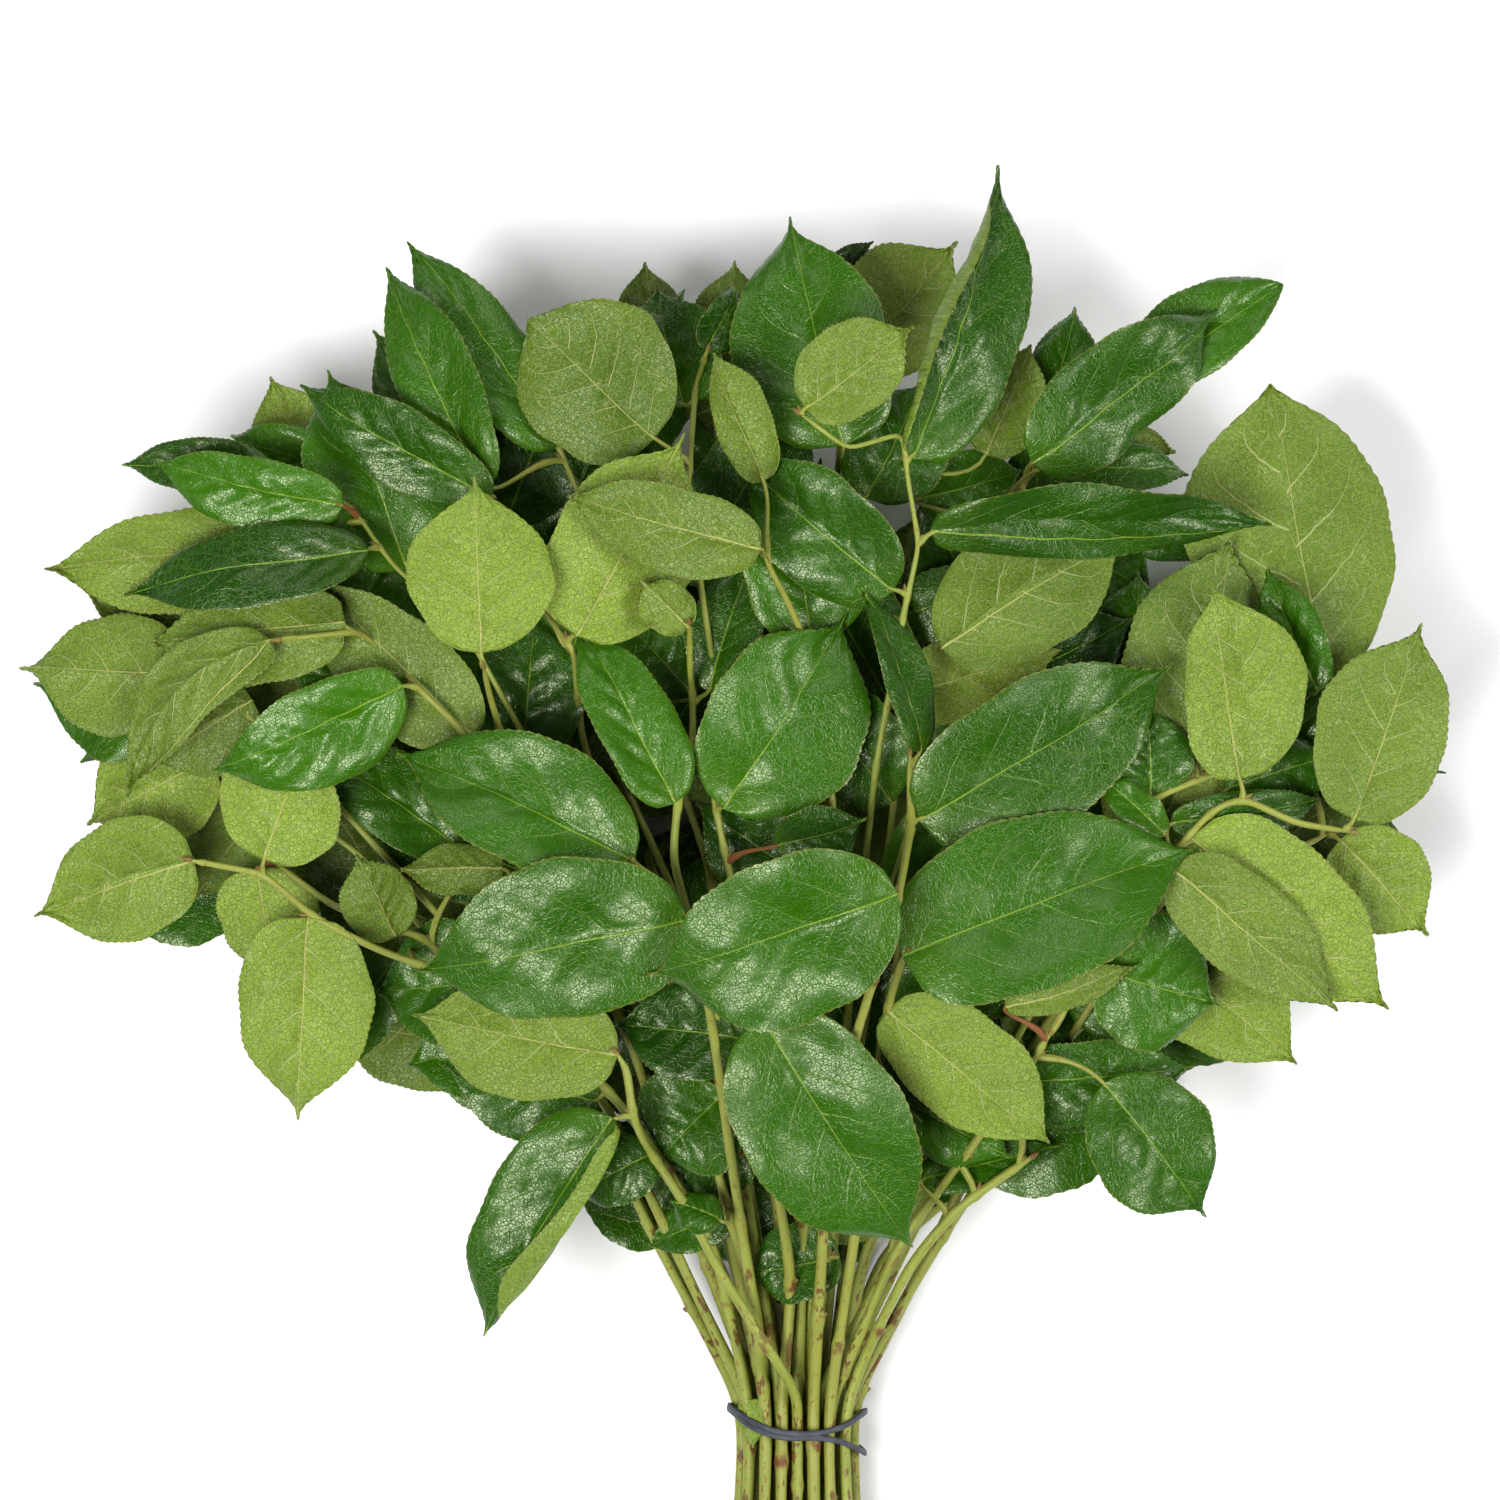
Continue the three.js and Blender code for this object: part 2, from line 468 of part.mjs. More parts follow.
function boxesMeet(a, b) {
  return [0, 1, 2].every((axis) => a.min[axis] < b.max[axis] && b.min[axis] < a.max[axis]);
}

// Two turns of the band, tilted against each other so that they cross at the sides.
function bandSolid() {
  const radius = TIE_HALF_WIDTH + STEM_RADIUS + BAND_CLEARANCE + BAND_THICKNESS / 2;
  const flatten = (TIE_HEIGHT - BAND_THICKNESS / 2) / radius;
  const turns = [-1, 1].map((side) => {
    const ring = new THREE.TorusGeometry(radius, BAND_THICKNESS / 2, 5, 24);
    ring.rotateX(Math.PI / 2).rotateZ(side * BAND_TILT).scale(1, 1, flatten);
    ring.translate(0, side * 0.6, TIE_HEIGHT);
    return solidOf(ring);
  });
  return turns[0].add(turns[1]);
}

function meshOf(name, solid, material) {
  const { vertProperties, triVerts } = solid.getMesh();
  const geometry = new THREE.BufferGeometry();
  geometry.setAttribute("position", new THREE.BufferAttribute(new Float32Array(vertProperties), 3));
  geometry.setIndex(new THREE.BufferAttribute(new Uint32Array(triVerts), 1));
  geometry.computeVertexNormals();
  const mesh = new THREE.Mesh(geometry, material);
  mesh.name = name;
  return mesh;
}

const tips = [...TIPS.map(tipOf), ...Array.from({ length: UNDER_TIPS }, (_, k) => underTip(k))];
tips.forEach((tip) => { tip.laid = tip.leaves.map(leafOf); });
layLeaves(tips.flatMap((tip) => tip.laid));
shareTie(tips);
tips.forEach((tip, index) => { tip.points = stemPoints(tip, index); });

// Stems keep their full length: each leaf gives way to the other tips' stems and to leaves placed before it.
for (const tip of tips) {
  tip.stem = { true: stemSolid(tip.points, 0), wide: stemSolid(tip.points, NEIGHBOUR_GAP) };
  tip.roots = tip.laid.map((leaf, k) => petioleRoot(tip.points, leaf.base, PETIOLE_BACK * (k + 1)));
}

const bunch = new THREE.Group();
const placedStems = [];
const placedLeaves = [];
for (const tip of tips) {
  const otherStems = tips.filter((other) => other !== tip).map((other) => other.stem);
  let solid = clearOf(tip.stem.true, placedStems);
  const leaves = tip.laid.map((leaf, k) => ({
    true: leafSolid(leaf, tip.roots[k], 0),
    wide: leafSolid(leaf, tip.roots[k], NEIGHBOUR_GAP),
  }));
  for (const leaf of leaves) solid = solid.add(clearOf(leaf.true, [...otherStems, ...placedLeaves]));
  placedStems.push(tip.stem);
  placedLeaves.push(...leaves);
  const green = new THREE.MeshStandardMaterial({ color: 0x4a6f2c, roughness: 0.45, metalness: 0 });
  bunch.add(meshOf("tip_" + tip.name, largestBody(solid), green));
}
const rubber = new THREE.MeshStandardMaterial({ color: 0x3c4148, roughness: 0.6, metalness: 0 });
bunch.add(meshOf("rubber_band", bandSolid(), rubber));

const box = new THREE.Box3().setFromObject(bunch);
const middle = box.getCenter(new THREE.Vector3());
bunch.position.set(-middle.x, -middle.y, -box.min.z);

export default bunch;
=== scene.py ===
"""A tied bunch of salal tips: leaves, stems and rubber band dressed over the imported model."""

import math
from types import SimpleNamespace

import bpy
import numpy as np
from bpy.props import FloatProperty, FloatVectorProperty, IntProperty, PointerProperty
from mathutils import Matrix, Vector


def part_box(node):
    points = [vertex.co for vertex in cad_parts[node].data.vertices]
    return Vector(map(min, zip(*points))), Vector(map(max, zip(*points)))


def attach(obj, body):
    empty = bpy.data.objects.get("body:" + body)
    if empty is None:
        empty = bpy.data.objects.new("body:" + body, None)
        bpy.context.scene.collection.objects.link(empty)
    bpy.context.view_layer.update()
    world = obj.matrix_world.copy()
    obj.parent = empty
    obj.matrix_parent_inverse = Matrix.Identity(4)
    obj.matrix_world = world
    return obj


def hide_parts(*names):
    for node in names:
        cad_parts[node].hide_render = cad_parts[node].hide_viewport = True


bl_info = {
    "name": "Salal bunch",
    "version": (1, 0, 0),
    "blender": (4, 5, 0),
    "location": "View3D > Sidebar > Salal",
    "description": "Builds the leaves, stems and band of a tied bunch of salal tips",
    "category": "Add Mesh",
}

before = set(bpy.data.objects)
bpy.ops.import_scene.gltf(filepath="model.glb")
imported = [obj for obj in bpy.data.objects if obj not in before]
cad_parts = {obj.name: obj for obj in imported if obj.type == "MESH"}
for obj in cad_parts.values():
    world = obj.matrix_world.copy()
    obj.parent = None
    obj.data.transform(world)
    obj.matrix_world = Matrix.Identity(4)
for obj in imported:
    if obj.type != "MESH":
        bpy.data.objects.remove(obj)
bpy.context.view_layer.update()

# The bunch's layout in millimetres, as in the part: the origin is on the surface under the tie, +Y runs
# from the tie to the leaf tips and +Z is up.
STEM_RADIUS = 2.2
GREEN_SHOOT_RADIUS = 0.95
THIN_FROM = 330
STRAIGHT_AT_TIE = 9
ROWS_SPREAD_AT = 32
ROW_SPREAD = 1.6
STEM_BELOW_TIE = 72
STEM_END_STEP = 5
SPLAY = 1.2
END_SAG = 1.4
HELD_REACH = 30
HELD_FIRMNESS = 0.02
TIE_HALF_WIDTH = 20.5
TIE_HALF_HEIGHT = 17.5
STEM_PITCH = 5.6
ROW_PITCH = 4.9
BAND_THICKNESS = 2.2
BAND_CLEARANCE = 0.5
TIE_HEIGHT = TIE_HALF_HEIGHT + STEM_RADIUS + BAND_CLEARANCE + BAND_THICKNESS
LEAF_THICKNESS = 1
LEAF_BOW = 0.05
LEAF_CUP = 0.12
HEAP_CELL = 5
HEAP_GAP = 2.2
HEAP_CELLS = 130
HEAP_ROWS_BELOW_TIE = 20
HEAP_SAMPLES_ALONG = 20
HEAP_SAMPLES_ASIDE = 4
UNDER_TIPS = 11
UNDER_LEAVES = 4
UNDER_FAN = 1.46
UNDER_CURVE = 0.62
UNDER_REACH = 275
UNDER_MIDDLE_LONGER = 0.28
UNDER_UNEVEN = 0.07
UNDER_LOWEST = 4
UNDER_LAYER = 17
UNDER_RISE = 5
UNDER_FIRST_LEAF = 0.46
UNDER_LAST_LEAF = 0.91
UNDER_OUTER_LATER = 0.26
UNDER_STAGGER = 8
UNDER_LEAF_LENGTH = 60
UNDER_LEAF_WIDTH = 44
UNDER_LEAF_ASIDE = 44

# The blade's columns from the midrib to the edge, as shares of its half width.
LEAF_COLUMNS = np.array([0, 0.05, 0.16, 0.32, 0.5, 0.68, 0.85, 0.975, 1])
LEAVES_HEIGHT = 0.09
LOWEST_SHEET = 1.1
FOLD_RADIUS = 2.5
# A face's corners turned over so that it is still split between the first and the third, as the face above
# it is.
SAME_DIAGONAL = [0, 3, 2, 1]

MILLIMETRE = 0.001
band_low, band_high = (np.array(corner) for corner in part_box("rubber_band"))
LAYOUT_ORIGIN = (band_low + band_high) / 2 - np.array([0, 0, TIE_HEIGHT * MILLIMETRE])

# Leaves between the laid ones, which only this dressed bunch has.
FILL_STEP = 15
FILL_LEVEL = 3
FILL_LEVELS = 64
FILL_CLEAR_LEVELS = 2
FILL_SIZES = (1, 0.74)
FILL_DROPS = 20
FILL_LOWEST = 4
FILL_CLOSES = 6
FILL_FRESH = 7
FILL_STEMS_FROM = 60
SEEN_STEMS = {
    "left_shoulder", "left_low", "middle_left", "middle_fork", "middle_bud", "zigzag", "arched", "right_twig",
    "right_fan", "low_left_front", "crown_pale",
}

# The draws for such a leaf: its length, width, rise and roll, its turn away from the stem, where along the
# stem the first one stands, and how many have their glossy side up.
FILL_LEAST = (58, 36, -12, -14)
FILL_MOST = (82, 47, 2, 14)
FILL_TURN = (0.5, 1.25)
FILL_FIRST = (0.3, 0.36)
FILL_LAST = 0.98
FILL_GLOSSY_SHARE = 0.8

# Seeds of the draws, to which the number of the leaf or stem is added.
LEAF_SEED = 1000
STEM_SEED = 5000
FILL_SEED = 9000

# What the stems carry, in millimetres, with PETIOLE_IN_BLADE as a share of the blade's length, and how the
# band's turns lie. A tube that rises by more than STEEP_SHARE of its run has its ring turned to +X, not +Z.
STEEP_SHARE = 0.75
PETIOLE_IN_BLADE = 0.035
SCAR_SPACING = (48, 80)
SCAR_LENGTH = 1.5
BUD_LENGTH = 3.4
BUD_WIDTH = 0.85
END_BUD_LENGTH = 4.2
END_BUD_WIDTH = 1.15
BAND_CLIMB = 9
BAND_PARTING = 6.5
BAND_APART = 0.75
BAND_RINGS = 160
BAND_SIDES = 12

# The stage in metres: each lamp's name, place, size and power in watts.
LAMPS = (
    ("key_light", (-0.9, -0.7, 2.6), 1.3, 104),
    ("fill_light", (2.0, -0.1, 2.0), 1.2, 62),
    ("back_light", (-0.2, 2.1, 1.9), 1.4, 22),
)
LAMP_TARGET_HEIGHT = 0.08
WORLD_STRENGTH = 0.07
FLOOR_REACH = 6.0
SENSOR_WIDTH = 36

# Leaves that grew unlike the rest, by tip and leaf number: values that take the place of drawn ones. A lean
# above nought bends the blade to the left of its way from base to tip, and fold_at is a share of the half
# width.
LEAF_TRAITS = {
    ("left_shoulder", 2): {"lean": -0.15, "droop": 0.05},
    ("left_shoulder", 0): {"lean": 0.05},
    ("right_fan", 0): {"lean": 0.08},
    ("right_twig", 0): {"lean": -0.1},
    ("zigzag", 2): {"lean": 0.06, "wave": 2.2},
    ("right_broad", 0): {"widest": 1.02, "roundness": 0.44, "drawn": 0.9, "lean": 0.03, "hue": 0.35},
    ("front_three", 0): {"hue": 0.6, "drawn": 2.3, "widest": 0.84, "wave": 2.0, "lean": 0.03},
    ("front_drop", 0): {"hue": 0.6, "drawn": 1.2, "widest": 0.8, "roundness": 0.5},
    ("crown_pale", 0): {"widest": 0.92, "roundness": 0.4, "drawn": 0.7, "pucker": 0.75},
    ("front_left", 0): {"hue": 0.6},
    ("front_left", 1): {"hue": 0.55},
    ("crown_right", 1): {"drawn": 0.35, "roundness": 0.5, "widest": 0.9, "lean": 0.05},
    ("crown_right", 0): {"hue": 0.4, "wave": 2.6, "lean": 0.04},
    ("zigzag", 1): {"fold": 1.9, "fold_at": 0.44, "drawn": 2.2, "lean": -0.03},
    ("low_left_front", 1): {
        "hue": 0.55, "fold": 2.8, "fold_at": 0.36, "drawn": 1.5, "roundness": 0.36, "wide": 1.3,
    },
}

# The torn leaf that the band holds down on the stems, and how it grew: base, tip, width, height, rise and
# roll.
CAUGHT_LEAF = [-17.5, 11, -15.5, -6, 9, 35.9, 1.5, 44]
CAUGHT_TRAITS = {
    "widest": 0.58, "roundness": 0.36, "drawn": 1.2, "twist": 0, "droop": 0, "wave": 0.3, "cup": 1.4,
}
CAUGHT_SWELL = 0.25
CAUGHT_ROLL = 0.4

# Each tip: its name, the stem's route from above the tie to its end (x, y), and its leaves. A leaf: the
# side that faces up ("U" the glossy upper side, "L" the pale lower one), its base (x, y), its tip (x, y),
# its width as seen from above, the height of its middle, the rise from base to tip, and its roll in
# degrees. A last number lifts a stem that crosses over its neighbours just above the tie.
TIPS = [
  ["left_shoulder", [[-60, 140], [-117, 249], [-131, 262], [-143, 274], [-154, 283], [-180, 280]], [
    ["U", -138, 264, -205, 234, 35, 96, -12, -12], ["L", -158, 286, -226, 279, 34, 92, -12, 10],
    ["L", -184, 280, -233, 225, 26, 103, -18, 20], ["U", -140, 266, -180, 268, 20, 82, -4, 15]]],
  ["left_low", [[-70, 120], [-120, 163], [-142, 170], [-153, 175], [-169, 183], [-187, 198], [-212, 203]], [
    ["L", -171, 183, -175, 112, 47, 90, -16, 8], ["L", -187, 203, -170, 248, 44, 82, 6, -10],
    ["L", -211, 203, -268, 183, 42, 88, -16, 8]]],
  ["left_twig", [[-70, 108], [-132, 177], [-141, 178], [-163, 187], [-184, 202]], [
    ["L", -190, 200, -183, 160, 35, 70, -10, 8], ["L", -141, 176, -155, 205, 25, 76, 6, 10],
    ["U", -118, 207, -172, 242, 30, 74, -6, 12]]],
  ["far_left", [[-95, 150], [-165, 225], [-190, 252], [-212, 265]], [
    ["L", -215, 268, -273, 270, 42, 78, -14, 10], ["U", -215, 262, -270, 265, 46, 66, -16, -8],
    ["L", -205, 282, -252, 298, 26, 60, -8, 8], ["L", -191, 259, -228, 236, 36, 70, -10, 8]]],
  ["left_edge", [[-85, 125], [-155, 205], [-200, 236]], [
    ["L", -206, 239, -250, 215, 45, 62, -14, 8], ["U", -222, 250, -254, 238, 10, 56, -6, 40],
    ["L", -186, 228, -214, 188, 40, 56, -12, -6]]],
  ["left_upper", [[-58, 180], [-96, 245], [-118, 285], [-140, 305], [-155, 325]], [
    ["U", -150, 311, -237, 297, 28, 98, -16, 18], ["U", -159, 327, -225, 342, 25, 94, -12, -14],
    ["L", -172, 314, -265, 305, 38, 76, -18, 10], ["U", -182, 336, -238, 342, 20, 78, -14, 10]]],
  ["left_crown", [[-42, 190], [-88, 290], [-106, 328]], [
    ["U", -107, 330, -175, 369, 27, 97, -14, -20], ["U", -137, 305, -165, 376, 45, 80, -12, 14],
    ["U", -160, 340, -200, 352, 24, 72, -8, -12], ["L", -168, 336, -186, 373, 30, 64, -8, 8]]],
  ["crown_left", [[-32, 200], [-72, 320], [-90, 362]], [
    ["U", -84, 348, -137, 421, 30, 84, -16, 16], ["U", -109, 333, -145, 411, 28, 88, -18, -18],
    ["U", -110, 345, -150, 390, 38, 64, -10, 8]]],
  ["crown_pale", [[-20, 200], [-38, 330], [-36, 369], [-32, 381]], [
    ["L", -50, 350, -94, 392, 55, 88, -10, -12], ["U", -40, 362, -50, 406, 40, 70, -10, -12],
    ["U", -32, 381, -22, 404, 14, 84, -4, 30]]],
  ["crown_back", [[-14, 220], [-30, 365]], [
    ["L", -48, 372, -54, 414, 25, 54, -6, 8], ["L", -28, 372, -22, 414, 30, 56, -6, -8],
    ["U", -2, 402, 27, 421, 12, 52, 2, 35]]],
  ["middle_left", [[-42, 160], [-104, 245], [-109, 270]], [
    ["L", -110, 275, -113, 336, 50, 98, -8, 10], ["U", -96, 240, -92, 290, 40, 76, -4, -8],
    ["L", -113, 246, -170, 303, 38, 84, -8, -10]]],
  ["middle_fork", [[-34, 140], [-75, 244], [-77, 256], [-79, 276], [-90, 292]], [
    ["L", -77, 281, -40, 352, 50, 94, -6, 12], ["U", -38, 262, -62, 288, 35, 80, -4, 12],
    ["U", -84, 262, -58, 330, 44, 72, -6, -10]]],
  ["middle_bud", [[-17, 80], [-27, 140], [-44, 203], [-42, 222], [-36, 243], [-36, 262], [-38, 285]], [
    ["U", -43, 223, -78, 286, 28, 90, -4, 22], ["L", -38, 284, -55, 300, 18, 100, -2, 8],
    ["U", -31, 262, -17, 308, 25, 82, -4, -14]]],
  ["middle_dark", [[3, 80], [-9, 125], [-27, 212], [-31, 238]], [
    ["U", -26, 221, 18, 290, 56, 86, -8, 10], ["U", 5, 195, -36, 223, 35, 82, -2, -10],
    ["U", -8, 208, 24, 218, 22, 94, 2, 20]]],
  ["arched", [[5, 120], [13, 219], [10, 238], [4, 275], [-12, 309]], [
    ["L", -13, 311, -80, 330, 30, 110, -12, -14], ["U", 5, 279, -5, 338, 44, 82, -4, 8],
    ["L", -12, 335, -29, 380, 20, 96, -6, -24]]],
  ["zigzag", [[16, 130], [27, 235], [32, 262], [37, 290], [42, 313], [38, 335], [36, 352],
    [17, 346], [1, 358]], [
    ["L", 2, 360, 40, 389, 32, 112, -2, 12], ["U", 40, 343, 72, 447, 38, 96, -24, 24],
    ["U", 46, 318, 166, 320, 24, 100, -18, 30], ["U", 33, 297, -22, 345, 38, 88, -6, -18]]],
  ["crown_glossy", [[6, 200], [14, 340]], [
    ["U", 16, 348, -3, 429, 55, 86, -16, -8], ["L", 20, 378, 56, 421, 44, 62, -8, 10],
    ["L", 66, 345, 82, 384, 28, 64, -6, 8], ["U", 24, 330, 44, 372, 36, 74, -6, 10]]],
  ["crown_right", [[40, 200], [80, 338]], [
    ["U", 82, 342, 149, 395, 36, 84, -12, 20], ["U", 112, 362, 171, 406, 30, 70, -12, -12],
    ["U", 86, 352, 98, 398, 25, 62, -8, 8], ["L", 100, 350, 133, 347, 14, 68, -4, 20]]],
  ["right_shoulder", [[34, 200], [74, 330]], [
    ["U", 85, 340, 138, 339, 18, 76, -10, -20], ["U", 42, 330, 80, 340, 26, 62, -6, 14],
    ["U", 108, 322, 150, 312, 18, 64, -8, 10], ["U", 84, 318, 128, 296, 34, 58, -8, -8]]],
  ["right_pale", [[24, 150], [35, 240], [48, 275]], [
    ["L", 50, 277, 116, 318, 46, 88, -10, -10], ["L", 32, 260, 92, 277, 30, 80, -8, 10],
    ["U", 66, 262, 118, 288, 34, 68, -8, 8]]],
  ["front_three", [[10, 100], [33, 190], [39, 217], [39, 240]], [
    ["U", 34, 192, -54, 163, 58, 122, -14, -8], ["U", 42, 217, 132, 272, 52, 110, -12, 10],
    ["U", 43, 241, 24, 297, 16, 104, -4, 40]]],
  ["front_right", [[20, 70], [29, 137], [32, 155], [37, 171]], [
    ["U", 36, 170, 138, 208, 60, 114, -16, -10], ["L", 31, 151, 88, 104, 38, 90, -16, 10],
    ["U", 31, 144, 73, 107, 28, 78, -12, -10]]],
  ["right_fan", [[60, 110], [123, 224], [139, 231], [147, 233]], [
    ["L", 139, 234, 152, 316, 50, 82, -8, 8], ["U", 123, 226, 122, 258, 30, 92, -2, 14],
    ["U", 128, 212, 105, 232, 14, 98, 2, 24]]],
  ["right_twig", [[44, 78], [122, 196], [144, 221], [154, 225], [173, 216], [193, 213]], [
    ["L", 154, 231, 144, 300, 43, 94, -6, -8], ["L", 194, 217, 218, 286, 46, 88, -6, 10],
    ["L", 137, 211, 207, 151, 50, 82, -18, 8]]],
  ["right_low", [[52, 70], [118, 176], [134, 196]], [
    ["L", 130, 200, 188, 150, 34, 92, -18, -10], ["L", 125, 175, 176, 131, 44, 68, -14, 8],
    ["U", 130, 216, 183, 224, 18, 76, -10, 10]]],
  ["far_right", [[72, 115], [150, 195], [186, 212]], [
    ["L", 190, 210, 221, 176, 36, 74, -10, -8], ["U", 178, 245, 229, 233, 40, 66, -12, 10],
    ["U", 150, 228, 190, 240, 26, 68, -6, -8]]],
  ["right_broad", [[60, 150], [145, 235], [182, 263]], [
    ["L", 184, 266, 166, 370, 72, 74, -16, 6], ["U", 182, 262, 164, 305, 22, 82, -4, -14],
    ["U", 118, 262, 120, 305, 30, 60, -4, 8]]],
  ["right_gloss", [[36, 66], [88, 142]], [
    ["U", 105, 165, 148, 152, 48, 86, -8, 8], ["L", 72, 152, 118, 167, 12, 96, -4, 24],
    ["U", 107, 125, 144, 77, 44, 82, -14, -8], ["U", 75, 125, 140, 130, 30, 72, -10, 8]]],
  ["right_outer", [[25, 29], [39, 60], [55, 80], [82, 98]], [
    ["U", 38, 118, 75, 98, 26, 68, -6, 8], ["U", 43, 90, 93, 102, 18, 62, -6, -10],
    ["U", 78, 140, 110, 106, 30, 64, -8, 8]]],
  ["front_drop", [[-2, 52], [-10, 98], [-12, 148]], [
    ["U", -13, 149, 40, 67, 58, 106, -22, 7], ["U", -18, 140, -66, 146, 35, 86, -8, 10]]],
  ["front_left", [[-21, 88], [-33, 160], [-42, 188], [-57, 203]], [
    ["U", -57, 203, -140, 241, 45, 104, -12, 12], ["U", -38, 183, -134, 164, 55, 112, -16, -8]]],
  ["low_left_front", [[1, 13], [-8, 26], [-28, 59], [-39, 83], [-50, 99], [-57, 111],
    [-60, 130], [-63, 135]], [
    ["L", -63, 135, -135, 149, 44, 92, -12, -8], ["U", -65, 113, -112, 35, 32, 84, -22, 16],
    ["U", -50, 100, -80, 84, 24, 68, -6, 10]], 9],
  ["low_left_back", [[-30, 68], [-58, 112], [-78, 134], [-102, 190]], [
    ["U", -70, 118, -127, 131, 40, 70, -10, -10], ["U", -100, 160, -151, 156, 45, 72, -10, 8],
    ["L", -103, 200, -139, 199, 18, 88, -4, 20]]],
  ["low_middle", [[-15, 50], [-27, 88], [-32, 113]], [
    ["U", -26, 121, -50, 96, 42, 64, -6, 8], ["U", -20, 110, -48, 84, 36, 56, -8, -8],
    ["U", -27, 76, -45, 83, 14, 66, -2, 24], ["U", -20, 80, -53, 66, 18, 50, -6, 14]]],
  ["low_inner", [[6, 42], [11, 62]], [
    ["U", 15, 62, -18, 55, 28, 46, -4, 8]]],
]


def tip_of(name, route, leaves, crossing=0):
    """A tip's row as named values, with its leaves laid out in space."""
    tip = SimpleNamespace(name=name, route=np.array(route, float), crossing=crossing)
    tip.leaves = [leaf_of(*row) for row in leaves]
    return tip


def under_tip(index):
    """A tip of the hidden side: they fan out under the others, with leaves left and right of each in turn."""
    fan = ((index + 0.5) / UNDER_TIPS - 0.5) * UNDER_FAN
    longer = UNDER_MIDDLE_LONGER * math.cos(2 * fan) + UNDER_UNEVEN * math.cos(5 * index)
    reach = UNDER_REACH * (0.8 + longer)

    def at(along, aside):
        x = along * math.sin(fan) + aside * math.cos(fan)
        y = along * math.cos(fan) - aside * math.sin(fan)
        return [math.floor(x + 0.5), math.floor(y + 0.5)]

    first = UNDER_FIRST_LEAF + UNDER_OUTER_LATER * (2 * fan / UNDER_FAN) ** 2
    leaves = []
    for k in range(UNDER_LEAVES):
        side = 0 if k == UNDER_LEAVES - 1 else 1 if k % 2 else -1
        share = first + (UNDER_LAST_LEAF - first) * k / (UNDER_LEAVES - 1)
        along = reach * share - UNDER_STAGGER * (index % 2)
        face = "U" if (index + k) % 3 else "L"
        ends = at(along, 4 * side) + at(along + UNDER_LEAF_LENGTH - 14 * abs(side), UNDER_LEAF_ASIDE * side)
        height = UNDER_LOWEST + UNDER_LAYER * (index % 2) + UNDER_RISE * k
        width = UNDER_LEAF_WIDTH + 6 * math.sin(index + 2 * k)
        if index % 2 == 0 and k == 1:
            leaves.append([face, *ends, width, LEAF_THICKNESS / 2, 0, 0, True])
        else:
            leaves.append([face, *ends, width, height, -4 + k % 3, 5 * side])
    outwards, forwards = at(reach * 0.3, 0)
    first_bend = [math.floor(outwards * UNDER_CURVE + 0.5), forwards]
    route = [first_bend, at(reach * 0.6, 5), at(reach * 0.88, 0)]
    return tip_of("under_%d" % (index + 1), route, leaves)


def leaf_of(face, bx, by, tx, ty, seen_width, height, rise, roll_degrees, pressed=False):
    """One leaf with its frame: base, direction to the tip, direction across, and the normal that faces up."""
    roll = math.radians(roll_degrees)
    run = np.array([tx - bx, ty - by, rise], float)
    length = np.linalg.norm(run)
    along = run / length
    level = np.array([-along[1], along[0], 0.0])
    level /= np.linalg.norm(level)
    across = level * math.cos(roll) + np.cross(along, level) * math.sin(roll)
    return SimpleNamespace(
        base=np.array([bx, by, height - rise / 2], float),
        along=along,
        across=across,
        normal=np.cross(along, across),
        length=length,
        half_width=seen_width / math.cos(roll) / 2,
        face_up=1 if face == "U" else -1,
        bend=0 if pressed else 1,
        middle_height=height,
    )


def solid_outline(u):
    """Half the solid leaf's width as a share of its greatest: a sine of u^0.82, narrower towards the tip."""
    return np.sin(np.pi * u**0.82) ** 0.75 * (1 - 0.3 * u**6)


def lay_leaves(leaves):
    """Lays the leaves from the lowest to the highest, raising each that would not clear the heap below it."""
    heap = np.full(HEAP_CELLS**2, -HEAP_GAP + LEAF_THICKNESS / 2)
    for leaf in sorted(leaves, key=lambda leaf: leaf.middle_height):
        cell, z = solid_leaf_cells(leaf)
        lift = max(0, np.max(heap[cell] + HEAP_GAP - z))
        leaf.base[2] += lift
        for step in (0, -1, 1, -HEAP_CELLS, HEAP_CELLS):
            np.maximum.at(heap, cell + step, z + lift)


def cells_of(x, y):
    """The numbers of the heap's cells over which points lie."""
    column = np.floor(x / HEAP_CELL).astype(int) + HEAP_CELLS // 2
    row = np.floor(y / HEAP_CELL).astype(int) + HEAP_ROWS_BELOW_TIE
    return row * HEAP_CELLS + column


def solid_leaf_cells(leaf):
    """The heap cells under sample points of the solid leaf, and the points' heights."""
    u = np.arange(1, HEAP_SAMPLES_ALONG + 1) / HEAP_SAMPLES_ALONG
    v = np.arange(-HEAP_SAMPLES_ASIDE, HEAP_SAMPLES_ASIDE + 1) / HEAP_SAMPLES_ASIDE
    u, v = np.meshgrid(u, v, indexing="ij")
    half = leaf.half_width * solid_outline(u)
    lifted = leaf.length * LEAF_BOW * 4 * u * (1 - u) + leaf.face_up * LEAF_CUP * half * np.abs(v)
    steps = (leaf.length * u, half * v, leaf.bend * lifted)
    axes = (leaf.along, leaf.across, leaf.normal)
    points = leaf.base + sum(step[..., None] * axis for step, axis in zip(steps, axes))
    x, y, z = points.reshape(-1, 3).T
    return cells_of(x, y), z


